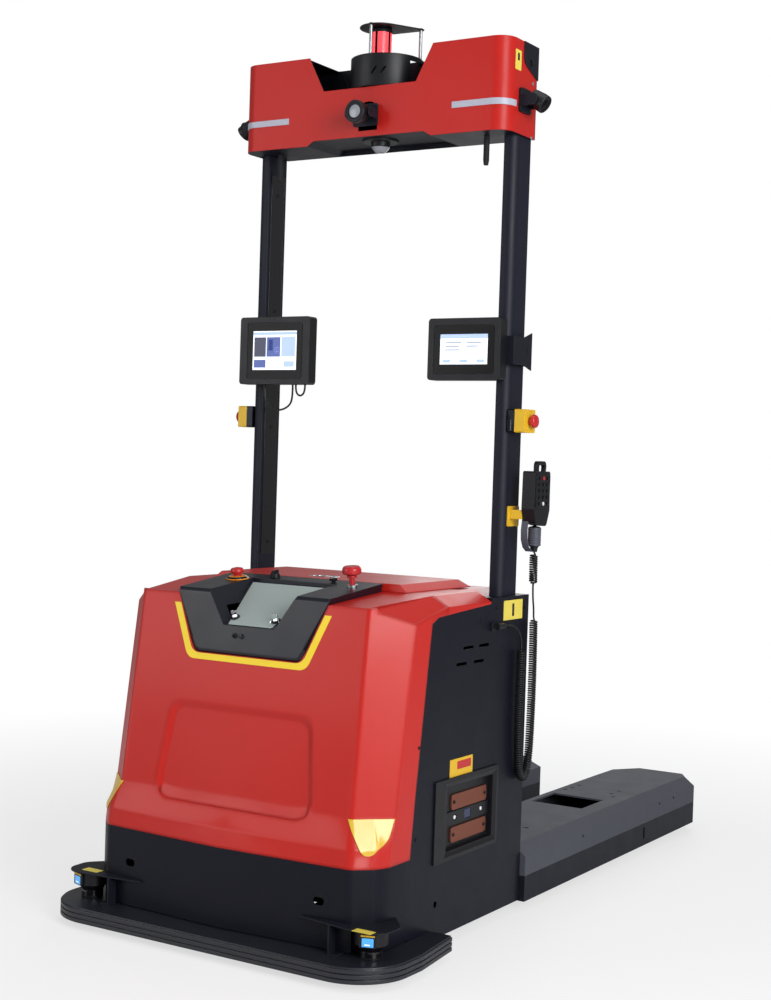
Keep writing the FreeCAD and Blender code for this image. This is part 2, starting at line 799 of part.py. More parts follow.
# ------------------------------------------------------------------ masts and gantry
def make_masts():
    """Two closed mast extrusions with a big outer front corner, each with its inner cover strip."""
    body = new_body("mast")
    post = [
        (mast_inner, mast_front, 4), (mast_outer, mast_front, mast_round),
        (mast_outer, mast_rear, 6), (mast_inner, mast_rear, 4),
    ]
    core = [
        (mast_inner + 4, mast_front + 4, 2), (mast_outer - 4, mast_front + 4, mast_round - 4),
        (mast_outer - 4, mast_rear - 4, 3), (mast_inner + 4, mast_rear - 4, 2),
    ]
    pad(body, "XY", [post, core], base_height + base_plate, beam_low)
    place(body)
    strip = new_body("mast_strip")
    pad(strip, "XY", [box(mast_inner - 2, mast_front + 14, mast_inner, mast_rear - 14)], 1000, 2180)
    place(strip)
    grouped("masts", [body, strip, mirrored(body), mirrored(strip)])


def make_gantry_beam():
    """Box beam that joins the mast tops inside the gantry."""
    body = new_body("gantry_beam")
    outer = box(-mast_outer, beam_low, mast_outer, beam_high)
    pad(body, "XZ", [outer], beam_front, beam_rear)
    pocket(body, "YZ", [box(beam_front + 5, beam_low + 5, beam_rear - 5, beam_high - 5)], -500, 500)
    place(body)
    keep("gantry_beam", body)


def gantry_solid(label, inset):
    """The gantry's outline as a solid with rounded front corners and the lidar notch."""
    body = new_body(label)
    right = [
        (190, gantry_bottom + centre_lift + inset), (notch_half, gantry_bottom + inset),
        (gantry_half - inset, gantry_bottom + inset), (gantry_half - inset, gantry_height - inset),
        (notch_half + inset, gantry_height - inset), (notch_floor_half + inset, notch_floor - inset),
    ]
    pad(body, "XZ", [both_sides(right)], inset, gantry_depth + (1 if inset else 0))
    corner = gantry_round - inset
    fillet(
        body,
        lambda edge: along(2)(edge) and edge.BoundBox.YMin < inset + 1 and abs(edge.BoundBox.XMin) > 440,
        corner,
    )
    return body


def make_gantry_shroud():
    """Thin black casing round the gantry, with the camera window and lower openings."""
    outer = gantry_solid("gantry_outside", 0.0)
    place(outer)
    inner = gantry_solid("gantry_inside", gantry_wall.value)
    window_low = gantry_bottom + 31
    window_high = gantry_bottom + 115
    arch = [(-32, window_low), (32, window_low), (32, window_high, 30), (-32, window_high, 30)]
    pad(inner, "XZ", [arch], -10, 20)
    for side in (1, -1):
        low, high = sorted((mast_inner * side, mast_outer * side), key=number)
        well = box(low - fit_gap, mast_front - fit_gap, high + fit_gap, mast_rear + fit_gap)
        pad(inner, "XY", [well], gantry_bottom - 10, gantry_bottom + 10)
        pad(inner, "XY", [Circle(360 * side, 70, 9)], gantry_bottom - 10, gantry_bottom + 20)
    pad(inner, "XY", [Circle(0, 75, 30)], gantry_bottom - 10, gantry_bottom + 30)
    pad(inner, "XY", [Circle(0, lidar_along, 12)], notch_floor - 20, notch_floor + 10)
    place(inner)
    casing = document.addObject("Part::Cut", "GantryCasing")
    casing.Base = outer
    casing.Tool = inner
    keep("gantry_shroud", casing)


def make_gantry_brackets():
    """End plates of the gantry and the yokes that carry its three tilting cameras."""
    solids = []
    rear = gantry_depth + cover_wall
    low = gantry_height - 94
    plate = new_body("end_plate")
    edge = rear + cover_wall
    outline = [
        (92, gantry_height), (92, gantry_height - 60, 30), (gantry_depth, low), (edge, low), (
            edge, gantry_height,
        ),
    ]
    pad(plate, "YZ", [outline], gantry_half, gantry_half + cover_wall)
    pocket(plate, "YZ", [Circle(132, gantry_height - 55, 11)], gantry_half, gantry_half + cover_wall)
    pad(plate, "XZ", [box(gantry_half - 60, low, gantry_half + cover_wall, gantry_height)], rear, edge)
    place(plate)
    solids += [plate, mirrored(plate)]
    cover = new_body("rear_cover")
    pad(cover, "XZ", [box(-gantry_half, gantry_bottom, gantry_half, gantry_height)], gantry_depth, rear)
    for side in (1, -1):
        low_x, high_x = sorted(((mast_inner - fit_gap) * side, (mast_outer + fit_gap) * side), key=number)
        slot = box(low_x, gantry_bottom - 1, high_x, beam_low + fit_gap)
        pocket(cover, "XZ", [slot], gantry_depth, rear)
    place(cover)
    solids.append(cover)
    yoke = new_body("side_camera_yoke")
    pad(
        yoke, "YZ", [box(68, SIDE_CAMERA[2] - 32, 132, SIDE_CAMERA[2] + 36, 8)], gantry_half,
        gantry_half + 8,
    )
    for low in (68, 128):
        under, over, tip = SIDE_CAMERA[2] - 16, SIDE_CAMERA[2] + 16, SIDE_CAMERA[0] + 9
        arm = [(gantry_half, under), (tip, under, 12), (tip, over, 12), (gantry_half, over)]
        pad(yoke, "XZ", [arm], low, low + 4)
    pocket(yoke, "XZ", [Circle(SIDE_CAMERA[0], SIDE_CAMERA[2], 4 + fit_gap)], 60, 140)
    place(yoke)
    solids += [yoke, mirrored(yoke)]
    front = new_body("front_camera_yoke")
    pad(front, "XZ", [box(-42, FRONT_CAMERA[2] - 32, 42, FRONT_CAMERA[2] + 32, 6)], -14, -10)
    for low in (-42, 38):
        under, over = FRONT_CAMERA[2] - 14, FRONT_CAMERA[2] + 14
        arm = [(-14, under), (-60, under, 12), (-60, over, 12), (-14, over)]
        pad(front, "YZ", [arm], low, low + 4)
    pocket(front, "YZ", [Circle(FRONT_CAMERA[1], FRONT_CAMERA[2], 4 + fit_gap)], -50, 50)
    pad(front, "XZ", [box(-14, FRONT_CAMERA[2] - 10, 14, FRONT_CAMERA[2] + 14)], -10, beam_front)
    place(front)
    solids.append(front)
    grouped("gantry_brackets", solids)


FRONT_CAMERA = (0, -48, gantry_bottom + 73)
SIDE_CAMERA = (gantry_half + 48, 100, gantry_bottom + 93)


def make_cameras():
    """Round camera heads on cross pins: one through the front window, one at each end."""
    body = new_body("front_camera")
    turn(body, [(0, -18), (27, -18, 5), (33, 10), (33, 26, 3), (26, 26), (26, 22), (0, 22)])
    pad(body, "YZ", [Circle(0, 0, 4)], -41, 41)
    place(body, FRONT_CAMERA[0], FRONT_CAMERA[1], FRONT_CAMERA[2], (1, 0, 0), 90)
    keep("front_camera", body)
    for side in (1, -1):
        head = new_body("side_camera_right" if side > 0 else "side_camera_left")
        turn(head, [(0, -24), (22, -24, 4), (26, 8), (26, 26, 3), (20, 26), (20, 22), (0, 22)])
        pad(head, "XZ", [Circle(0, 0, 4)], -31, 31)
        place(head, SIDE_CAMERA[0] * side, SIDE_CAMERA[1], SIDE_CAMERA[2], (0, 1, 0), 125 * side)
        keep(head.Label, head)


def make_lidar():
    """Scanner tower in the notch: guard band, coned base, spinning drum and a rain hat on posts."""
    guard = new_body("lidar_housing")
    band_inner = lidar_guard - guard_wall
    ring = [
        (0, 0), (lidar_guard - 4, 0), (lidar_guard, 6), (lidar_guard, guard_height), (
            band_inner, guard_height,
        ),
        (band_inner, 8), (70, 8), (70, drum_base - 24), (44, drum_base), (0, drum_base),
    ]
    turn(guard, ring)
    for x in (26, 58):
        slot = [(x, 48), (x + 8, 48), (x + 24, 76), (x + 16, 76)]
        pocket(guard, "XZ", [slot], -lidar_guard - 5, -72)
    pocket(guard, "YZ", [box(-34, 34, 48, 92, 8)], 72, lidar_guard + 5)
    place(guard, 0, lidar_along, notch_floor)
    keep("lidar_housing", guard)
    rotor = new_body("lidar_rotor")
    foot = drum_base + fit_gap
    turn(rotor, [(0, foot), (rotor_radius, foot, 3), (rotor_radius, 178, 4), (0, 178)])
    place(rotor, 0, lidar_along, notch_floor)
    keep("lidar_rotor", rotor)
    hat = new_body("lidar_hat")
    drop = [(-108, -108, 106), (40, -108, 70), (155, 35, 12), (60, 108, 70), (-108, 108, 106)]
    pad(hat, "XY", [drop], lidar_hat, lidar_hat + 5)
    for angle in (200, 325, 80):
        x = (lidar_guard.value - 3) * math.cos(math.radians(angle))
        y = (lidar_guard.value - 3) * math.sin(math.radians(angle))
        pad(hat, "XY", [Circle(x, y, 4)], lidar_top, lidar_hat)
    place(hat, 0, lidar_along, 0)
    keep("lidar_hat", hat)


def make_gantry_trim():
    """Light strips, antennas and the dome camera under the gantry."""
    strip_low = gantry_bottom + 71
    bar = new_body("light_strip")
    pad(
        bar, "XY",
        [[(282, 0), (gantry_half, 0, gantry_round), (gantry_half, 54), (gantry_half + 2, 54), (gantry_half + 2, -2, gantry_round + 2), (282, -2)]],
        strip_low, strip_low + 18,
    )
    place(bar)
    shapes = []
    for side in (1, -1):
        shapes.append([(372 * side, 393), (434 * side, 292, 14), (460 * side, 340, 60), (463.5 * side, 393)])
    lens = nose_skin("corner_lens", -2.5, -0.3, shapes)
    grouped("light_lenses", [bar, mirrored(bar), lens])
    rod = new_body("antenna")
    turn(rod, [(0, -82), (3, -82), (6, -50, 10), (6, gantry_wall), (11, gantry_wall), (11, 12), (0, 12)])
    place(rod, 360, 70, gantry_bottom)
    pair("antennas", rod)
    dome = new_body("dome_camera")
    turn(
        dome,
        [
            (0, -20), (14, -20, 8), (28, -4, 6), (29, 8), (54, 8, 3), (54, 14), (29.5, 14), (29.5, 46),
            (0, 46),
        ],
    )
    place(dome, 0, 75, gantry_bottom)
    keep("dome_camera", dome)


# ------------------------------------------------------------------ operator fittings on the masts
def make_displays():
    """Two screen boxes in front of the masts, each with a set-in glass and a rounded bezel."""
    boxes = []
    for low_x, high_x, low_z, high_z, glass in (
        (-463, -203, 1527, 1733, (-414, 1571, -251, 1690)),
        (212, 447, 1540, 1717, (252, 1585, 406, 1671)),
    ):
        body = new_body("display")
        pad(
            body, "XZ", [box(low_x, low_z, high_x, high_z, 10)], display_front,
            display_front + display_depth,
        )
        bezel = box(glass[0] - 22, glass[1] - 28, glass[2] + 22, glass[3] + 26, 8)
        pocket(body, "XZ", [bezel], display_front, display_front + 2)
        pocket(body, "XZ", [box(*glass)], display_front, display_front + 4)
        place(body)
        boxes.append(body)
    grouped("displays", boxes)


display_front = size("display_front", 30)
display_depth = size("display_depth", 38)


def make_display_brackets():
    """Channel brackets that clamp each display to its mast."""
    arms = []
    for side in (1, -1):
        body = new_body("display_bracket")
        back = display_front + display_depth
        low, high = sorted((390 * side, 470 * side), key=number)
        pad(body, "XZ", [box(low, 1588, high, 1668)], back, back + 3)
        low, high = sorted((467 * side, 470 * side), key=number)
        flank = [(back, 1588), (134, 1588), (181, 1576), (181, 1684), (134, 1668), (back, 1668)]
        pad(body, "YZ", [flank], low, high)
        pocket(body, "YZ", [box(142, 1616, 160, 1640, 8.9)], low, high)
        low, high = sorted((mast_inner * side, 470 * side), key=number)
        pad(body, "XZ", [box(low, 1588, high, 1668)], mast_rear, mast_rear + 3)
        low, high = sorted(((mast_outer - 26) * side, (mast_inner + 4) * side), key=number)
        pad(body, "XZ", [box(low, 1600, high, 1656)], back, mast_front)
        low, high = sorted((mast_outer * side, 468 * side), key=number)
        pad(body, "XY", [box(low, mast_rear - 30, high, mast_rear)], 1600, 1656)
        place(body)
        arms.append(body)
    grouped("display_brackets", arms)


def bent_path(points, diameter):
    """A route of straight runs joined by tangent arcs as large as the runs allow."""
    nodes = [Vector(*[number(value) for value in point]) for point in points]
    edges = []
    start = nodes[0]
    for before, corner, after in zip(nodes, nodes[1:], nodes[2:]):
        incoming = corner - before
        outgoing = after - corner
        half_turn = incoming.getAngle(outgoing) / 2
        reach = 0.45 * min(incoming.Length, outgoing.Length)
        radius = reach / math.tan(half_turn)
        print("   bend radius %.1f = %.1f diameters" % (radius, radius / diameter))
        first = corner - incoming.normalize() * reach
        last = corner + outgoing.normalize() * reach
        inward = ((first + last) / 2 - corner).normalize()
        middle = corner + inward * (math.hypot(radius, reach) - radius)
        edges.append(Part.LineSegment(start, first).toShape())
        edges.append(Part.Arc(first, middle, last).toShape())
        start = last
    edges.append(Part.LineSegment(start, nodes[-1]).toShape())
    return Part.Wire(edges)


def tube(label, points, diameter):
    """A round cord along its route, its volume checked against section times length."""
    print(label)
    path = bent_path(points, number(diameter))
    start = Vector(*[number(value) for value in points[0]])
    heading = Vector(*[number(value) for value in points[1]]) - start
    ring = Part.Wire(Part.Circle(start, heading, number(diameter) / 2).toShape())
    shape = path.makePipeShell([ring], True, True)
    expected = math.pi * (number(diameter) / 2) ** 2 * path.Length
    print("   length %.1f, volume / (section x length) = %.5f" % (path.Length, shape.Volume / expected))
    cord = document.addObject("Part::Feature", "Cord")
    cord.Shape = shape
    cord.Placement = FreeCAD.Placement(Vector(0, -datum_depth.value, 0), FreeCAD.Rotation())
    return cord


def make_display_cables():
    """Two leads that loop below the left display, and one behind the right display."""
    wide = [
        (-385, 56, 1527), (-385, 56, 1490), (-370, 58, 1462), (-330, 60, 1446), (-290, 60, 1462),
        (-278, 58, 1490), (-278, 56, 1527),
    ]
    small = [
        (-262, 50, 1527), (-262, 50, 1508), (-252, 50, 1494), (-238, 50, 1494), (-228, 50, 1508),
        (-228, 50, 1527),
    ]
    grouped("display_cables", [tube("wide lead", wide, lead_size), tube("small lead", small, lead_size)])


lead_size = size("lead_size", 6)
estop_along = size("estop_along", 117.6)
estop_height = size("estop_height", 1429)
estop_half = size("estop_half", 33)
estop_face = size("estop_face", 503.5)
button_radius = size("button_radius", 20)
button_travel = size("button_travel", 4)


def make_estops():
    """Yellow stop boxes on the masts, the console's stop collar, and their mushroom buttons."""
    solids = []
    case = new_body("estop_case")
    square = box(
        estop_along - estop_half, estop_height - estop_half, estop_along + estop_half,
        estop_height + estop_half, 5,
    )
    pad(case, "YZ", [square], mast_outer, mast_outer + 22)
    place(case)
    lid = new_body("estop_lid")
    pad(lid, "YZ", [square], mast_outer + 22, estop_face)
    pocket(lid, "YZ", [Circle(estop_along, estop_height, 11 + fit_gap)], mast_outer + 22, estop_face)
    place(lid)
    solids = [case, lid, mirrored(case), mirrored(lid)]
    collar = new_body("console_collar")
    turn(collar, [(11.4, 0), (30, 0), (30, 5, 2), (24, 9), (11.4, 9)])
    place_on_console(collar, CONSOLE_STOP, 0)
    solids.append(collar)
    grouped("estop_boxes", solids)
    for label in ("estop_button_right", "estop_button_left", "estop_button_console"):
        button = new_body(label)
        base = button_travel + 1
        stem = [(0, -8), (11, -8), (11, base), (14, base)]
        turn(
            button,
            stem + [(button_radius, base + 8, 4), (button_radius - 2, base + 16, 6), (0, base + 20)],
        )
        keep(label, button)
    place(NODES["estop_button_right"], estop_face, estop_along, estop_height, (0, 1, 0), 90)
    place(NODES["estop_button_left"], -estop_face, estop_along, estop_height, (0, 1, 0), -90)
    place_on_console(NODES["estop_button_console"], CONSOLE_STOP, 9)


def make_console_controls():
    """Start button, selector knob, battery disconnect and key switches with their collars."""
    start = new_body("start_button")
    turn(start, [(0, -14), (6, -14), (6, 4), (11, 4), (11, 11, 2), (0, 12)])
    place_on_console(start, START, 0)
    keep("start_button", start)
    knob = new_body("selector_knob")
    turn(knob, [(0, -10), (6, -10), (6, 0.4), (15, 0.4), (14, 12, 3), (0, 13)])
    pad(knob, "XY", [box(-4, -14, 4, 15, 3)], 6, 20)
    place_on_console(knob, KNOB, 0)
    keep("selector_knob", knob)
    pull = new_body("disconnect_switch")
    turn(pull, [(0, -20), (8, -20), (8, 34), (24, 36, 3), (24, 54, 8), (0, 56)])
    place_on_console(pull, DISCONNECT, 0)
    keep("disconnect_switch", pull)
    for (x, y), label in zip(KEYS, ("key_switch_left", "key_switch_right")):
        key = new_body(label)
        turn(key, [(0, 0), (9, 0), (9, 6, 1), (0, 6)])
        pad(key, "XZ", [[(-8, 6), (8, 6), (11, 22, 5), (-11, 22, 5)]], -1, 1)
        place(key, x, y, tray_level(y) + 0.4, (1, 0, 0), TRAY_ANGLE)
        keep(label, key)


def make_pendant():
    """Wired hand control in its holder on the right mast."""
    body = new_body("pendant_body")
    face = [
        (118, 1140, 14), (186, 1130, 14), (205, 1176, 8), (203, 1288, 8), (108, 1288, 8), (105, 1180, 8),
    ]
    pad(body, "YZ", [face], 492, 532)
    pad(body, "YZ", [box(112, 1184, 198, 1280, 6)], 532, 535)
    bail = [(150, 1282), (205, 1282), (210, 1317, 14), (150, 1317, 14)]
    hole = [(162, 1284), (196, 1284), (199, 1306, 7), (162, 1306, 7)]
    pad(body, "YZ", [bail, hole], 504, 516)
    place(body)
    grip = new_body("pendant_grip")
    turn(grip, [(0, 0), (9, 0), (11, 12), (17, 20, 4), (18, 72, 6), (0, 76)])
    place(grip, PENDANT_CORD[0], PENDANT_CORD[1], 1056)
    fused = document.addObject("Part::Fuse", "PendantShell")
    fused.Base = body
    fused.Tool = grip
    keep("pendant_body", fused)
    holder = new_body("pendant_holder")
    pad(holder, "YZ", [box(100, 1128, 168, 1186, 4)], mast_outer, mast_outer + 4)
    pad(
        holder, "XY",
        [[(mast_outer, 108), (491.6, 108), (491.6, 114), (mast_outer + 4, 160), (mast_outer, 160)]], 1150,
        1176,
    )
    pad(holder, "YZ", [box(108, 1150, 160, 1176)], 487.6, 491.6)
    place(holder)
    keep("pendant_holder", holder)


PENDANT_CORD = (500, 178)
COIL_END = (482, 227, 860)
COIL_RETURN = (482, 155, 775)
coil_size = size("coil_size", 27)
cord_size = size("cord_size", 5.5)


def make_cord():
    """The pendant's curly lead: two coiled stretches, the plain link, its tail and its socket."""
    x, y = PENDANT_CORD
    upper = tube("upper coil", [(x, y, 1056), (x, y, 1010), (x - 3, y + 8, 960)], coil_size)
    keep("cord_upper_coil", upper)
    x, y = x - 3, y + 8
    link = [(x, y, 960), (x - 1.6, y + 4.2, 934), (x - 8, y + 20, 912), (x - 15, 225.88, 888), COIL_END]
    keep("cord_link", tube("link", link, cord_size))
    x, far, top = COIL_END
    near = COIL_RETURN[1]
    drop = [
        COIL_END, (x, far + 4, 760), (x, far + 5, 650), (x, far + 2, 540), (x, far - 4, 450),
        (x, far - 20, 402), (x, near + 20, 402), (x, near + 2, 450), (x, near - 2, 540), (x, near - 2, 660), COIL_RETURN,
    ]
    keep("cord_lower_coil", tube("lower coil", drop, coil_size))
    tail = [
        COIL_RETURN, (x, near + 0.43, 800), (x - 1, near - 13, 826), (x - 2, near - 42, 845),
        (x - 3, 80, 850), (x - 3, 52, 850),
    ]
    keep("cord_tail", tube("tail", tail, cord_size))
    socket = new_body("cord_socket")
    turn(socket, [(0, 0), (6, 0), (9, 10), (9, 42, 2), (0, 42)])
    place(socket, x - 3, 52, 850, (1, 0, 0), 90)
    foot = new_body("socket_foot")
    pad(foot, "YZ", [box(-8, 838, 20, 862, 4)], body_half, body_half + 6)
    place(foot)
    fused = document.addObject("Part::Fuse", "Socket")
    fused.Base = socket
    fused.Tool = foot
    keep("cord_socket", fused)


# ------------------------------------------------------------------ load legs
def leg_plan(inset=0.0):
    """A leg's plan: straight sides and a bevelled tip."""
    return [
        (leg_inner + inset, deck_start), (leg_outer - inset, deck_start),
        (leg_outer - inset, leg_tip - 56), (leg_outer - 43 - inset * 0.5, leg_tip - inset),
        (leg_inner + 121 + inset * 0.5, leg_tip - inset), (leg_inner + inset, leg_tip - 101),
    ]


def make_leg_frames():
    """Low channel frames with the load rollers' axles, bolted to the chassis."""
    body = new_body("leg_frame")
    pad(body, "XY", [leg_plan()], leg_bottom, leg_split)
    pocket(
        body, "XY", [[(x, y + 8 if i < 2 else y) for i, (x, y) in enumerate(leg_plan(8))]],
        leg_bottom + 6, leg_split,
    )
    gap = box(load_wheel_across - 62, load_wheel_along - 50, load_wheel_across + 62, load_wheel_along + 50)
    pocket(body, "XY", [gap], leg_bottom, leg_bottom + 6)
    for low, high in ((load_wheel_across - 76, load_wheel_across - 66), (load_wheel_across + 66, load_wheel_across + 76)):
        cheek = [
            (load_wheel_along - 45, leg_bottom + 6), (load_wheel_along + 45, leg_bottom + 6),
            (load_wheel_along + 20, 66, 6), (load_wheel_along - 20, 66, 6),
        ]
        pad(body, "YZ", [cheek], low, high)
    pad(
        body, "YZ", [Circle(load_wheel_along, load_wheel_radius, load_axle)], load_wheel_across - 66,
        load_wheel_across + 66,
    )
    pocket(body, "YZ", [box(1120, 50, 1134, 91, 6.9)], leg_outer - 8, leg_outer)
    root = box(leg_inner + 20, body_rear, leg_outer - 60, deck_start)
    pad(body, "XY", [root], base_height + base_plate, leg_split - 4)
    place(body)
    pair("leg_frames", body)


LIFT_SPOTS = (480, 1230)


def make_lift():
    """Short-stroke cylinders in the legs, and the decks with the rods that they push."""
    solids = []
    for y in LIFT_SPOTS:
        cylinder = new_body("lift_cylinder")
        turn(
            cylinder,
            [
                (0, 0), (34, 0), (34, 8), (25, 10), (25, 118, 3), (rod_radius + fit_gap, 118),
                (rod_radius + fit_gap, 8), (0, 8),
            ],
        )
        place(cylinder, load_wheel_across, y, leg_bottom + 6)
        solids += [cylinder, mirrored(cylinder)]
    grouped("lift_cylinders", solids)
    deck = new_body("deck")
    low = leg_plan()
    high = [
        (leg_inner + 65, deck_start + 3), (leg_outer - 41, deck_start + 3), (leg_outer - 41, leg_tip - 52),
        (leg_outer - 64, leg_tip - 12), (leg_inner + 132, leg_tip - 14), (leg_inner + 65, leg_tip - 107),
    ]
    loft(deck, "XY", [(deck_edge, low), (deck_height, high)])
    pad(deck, "XY", [low], leg_split + fit_gap, deck_edge)
    place(deck)
    hollow = new_body("deck_hollow")
    inner = [(x, y + (deck_skin if i < 2 else 0)) for i, (x, y) in enumerate(leg_plan(deck_skin))]
    pad(hollow, "XY", [inner], leg_split - 5, deck_edge - 2)
    roof = [
        (leg_inner + 67, deck_start + 8), (leg_outer - 43, deck_start + 8), (leg_outer - 43, leg_tip - 56),
        (leg_outer - 64, leg_tip - 20), (leg_inner + 136, leg_tip - 22), (leg_inner + 67, leg_tip - 112),
    ]
    loft(hollow, "XY", [(deck_edge - 2, inner), (deck_height - deck_skin, roof)])
    opening = box(200, 826, 383, 1000)
    pad(hollow, "XY", [opening], 170, 200)
    pad(hollow, "XY", [box(355, 447, 376, 464, 8)], 170, 200)
    for x, y in ((205, 1077), (212, 1119), (211, 1175), (360, 1116), (362, 1176), (386, 1072)):
        pad(hollow, "XY", [Circle(x, y, 8)], 170, 200)
    place(hollow)
    shell = document.addObject("Part::Cut", "DeckShell")
    shell.Base = deck
    shell.Tool = hollow
    rods = []
    for y in LIFT_SPOTS:
        rod = new_body("lift_rod")
        pad(rod, "XY", [Circle(0, 0, rod_radius)], 0, 140)
        place(rod, load_wheel_across, y, deck_height - deck_skin - 140)
        rods.append(rod)
    fused = document.addObject("Part::MultiFuse", "Deck")
    fused.Shapes = [shell] + rods
    keep("lift_deck_right", fused)
    keep("lift_deck_left", mirrored(fused))


rod_radius = size("rod_radius", 12)


def make_load_wheels():
    """Wide load rollers on their axles."""
    for side, label in ((1, "load_wheel_right"), (-1, "load_wheel_left")):
        body = new_body(label)
        bore = load_axle + fit_gap
        turn(
            body,
            [
                (bore, -60), (load_wheel_radius - 6, -60), (load_wheel_radius, -56),
                (load_wheel_radius, 56), (load_wheel_radius - 6, 60), (bore, 60),
            ],
        )
        place(body, load_wheel_across * side, load_wheel_along, load_wheel_radius, (0, 1, 0), 90)
        keep(label, body)


# ------------------------------------------------------------------ drive and casters
def make_drive():
    """Steered drive: motor and slewing gear on the bridge, turret fork, traction motor and wheel."""
    motor = new_body("steer_motor")
    top = bridge_height + rib_wall
    turn(motor, [(0, 8), (40, 8), (40, 60), (52, 64), (52, 170, 6), (0, 174)])
    pad(motor, "XY", [box(-110, -12, 110, 12)], 8, 20)
    for side in (1, -1):
        low, high = sorted((94 * side, 110 * side))
        pad(motor, "XY", [box(low, -12, high, 12)], 0, 20)
    place(motor, 0, drive_along, top)
    keep("steer_motor", motor)
    turret = new_body("drive_turret")
    turn(
        turret,
        [
            (0, -14), (turret_hub + 14, -14), (turret_hub + 14, -fit_gap), (turret_hub, -fit_gap),
            (turret_hub, rib_wall + 4), (0, rib_wall + 4),
        ],
    )
    for side in (1, -1):
        low, high = sorted((42 * side, 54 * side))
        arm = [
            (-30, drive_radius - bridge_height - 22, 20), (30, drive_radius - bridge_height - 22, 20),
            (40, -14), (-40, -14),
        ]
        pad(turret, "YZ", [arm], low, high)
    pad(turret, "YZ", [Circle(0, drive_radius - bridge_height, 15)], -54, 54)
    pad(turret, "YZ", [Circle(0, drive_radius - bridge_height, 44)], 54, 84)
    place(turret, 0, drive_along, bridge_height)
    keep("drive_turret", turret)
    wheel = new_body("drive_wheel")
    bore = 15 + fit_gap
    turn(
        wheel,
        [
            (bore, -38), (60, -38), (62, -30), (drive_radius - 4, -30), (drive_radius, -26),
            (drive_radius, 26), (drive_radius - 4, 30), (62, 30), (60, 38), (bore, 38),
        ],
    )
    place(wheel, 0, drive_along, drive_radius, (0, 1, 0), 90)
    keep("drive_wheel", wheel)


def make_casters():
    """Swivelling casters with a king pin, a fork and an axle."""
    for side, name in ((1, "right"), (-1, "left")):
        fork = new_body("caster_fork_" + name)
        under = caster_shelf - fit_gap
        turn(
            fork,
            [
                (0, -8), (34, -8), (34, 0), (12, 0), (12, rib_wall + 2 * fit_gap),
                (20, rib_wall + 2 * fit_gap), (20, rib_wall + 8, 2), (0, rib_wall + 8),
            ],
        )
        for cheek in (1, -1):
            low, high = sorted((20 * cheek, 25 * cheek))
            arm = [
                (-24, -8), (28, -8), (caster_trail + 12, -caster_shelf + caster_radius - 12, 11),
                (caster_trail - 14, -caster_shelf + caster_radius - 12, 11),
            ]
            pad(fork, "YZ", [arm], low, high)
        pad(fork, "YZ", [Circle(caster_trail, caster_radius - under, 6)], -25, 25)
        place(fork, caster_across * side, caster_along, under)
        keep(fork.Label, fork)
        wheel = new_body("caster_wheel_" + name)
        turn(
            wheel,
            [
                (6 + fit_gap, -19), (22, -19), (26, -17), (46, -17), (caster_radius, -12),
                (caster_radius, 12), (46, 17), (26, 17), (22, 19), (6 + fit_gap, 19),
            ],
        )
        place(wheel, caster_across * side, caster_along + caster_trail, caster_radius, (0, 1, 0), 90)
        keep(wheel.Label, wheel)


def make_battery():
    """Sealed battery case standing on the floor plate."""
    body = new_body("battery")
    pad(body, "XY", [box(-290, -140, 290, 180, 6)], base_height + base_plate, 600)
    for x in (-200, 200):
        pad(body, "XY", [Circle(x, 0, 12)], 600, 618)
    place(body)
    keep("battery", body)


# ------------------------------------------------------------------ safety scanners and bumper
def make_scanners():
    """Corner laser scanners: display housing over a dark cone, each under a shield plate."""
    body = new_body("scanner")
    turn(
        body,
        [
            (0, 0), (30, 0), (30, 6), (24, 8), (36, 34), (43, 36),
            (43, shield_height - skirt_high - 1, 3), (0, shield_height - skirt_high - 1),
        ],
    )
    place(body, scanner_across, scanner_along, skirt_high + 0.5)
    pair("scanners", body)
    mount = new_body("scanner_mount")
    front, bow, corner_in, facet_in, facet_back, side, corner_round, side_round = NOSE_LEVELS[0][1:]
    corner = body_half - corner_in
    shield = [
        (265, front - bow * (1 - 265 / corner.value) - 9), (scanner_across - 40, scanner_along - 54, 40),
        (scanner_across + 58, scanner_along - 62, 54), (scanner_across + 62, scanner_along + 40, 40),
        (body_half, side + 40), (body_half, side), (body_half - facet_in, front + facet_back, side_round),
        (corner, front, corner_round), (265, front - bow * (1 - 265 / corner.value)),
    ]
    pad(mount, "XY", [shield], shield_height, shield_height + 3)
    pad(mount, "XY", [box(362, -628, 366, -596)], skirt_high, shield_height)
    pad(mount, "XY", [box(362, -628, 390, -596)], skirt_high, skirt_high + 3)
    place(mount)
    pair("scanner_mounts", mount)


def make_bumper():
    """Rubber bumper skirt round the nose, with two grooves between its ribs."""
    body = new_body("bumper_skirt")
    inner = [
        (base_half - 95, base_front), (base_half, base_front + 90),
        (body_half, base_front + 150), (body_half, -290),
    ]
    layers = (
        (skirt_low, 10, 0), (skirt_low + 10, 3, 4), (skirt_low + 13, 10, 0), (skirt_low + 23, 3, 4),
        (skirt_low + 26, 10, 0),
    )
    for low, thick, inset in layers:
        half = [
            (skirt_half - 22 - inset, -290), (skirt_half - inset, -480, 120 - inset),
            (skirt_half - 6 - inset, skirt_front + inset, 150 - inset),
        ]
        loop = half + [(0, skirt_front + inset)] + [(-point[0],) + tuple(point[1:]) for point in reversed(half)]
        pad(body, "XY", [loop + [(-x, y) for x, y in reversed(inner)] + inner], low, low + thick)
    rim = [
        (skirt_half - 26, -290), (skirt_half - 4, -480, 116), (skirt_half - 10, skirt_front + 4, 146),
    ]
    loop = rim + [(0, skirt_front + 4)] + [(-point[0],) + tuple(point[1:]) for point in reversed(rim)]
    pad(body, "XY", [loop + [(-x, y) for x, y in reversed(inner)] + inner], skirt_low + 36, skirt_high)
    place(body)
    keep("bumper_skirt", body)


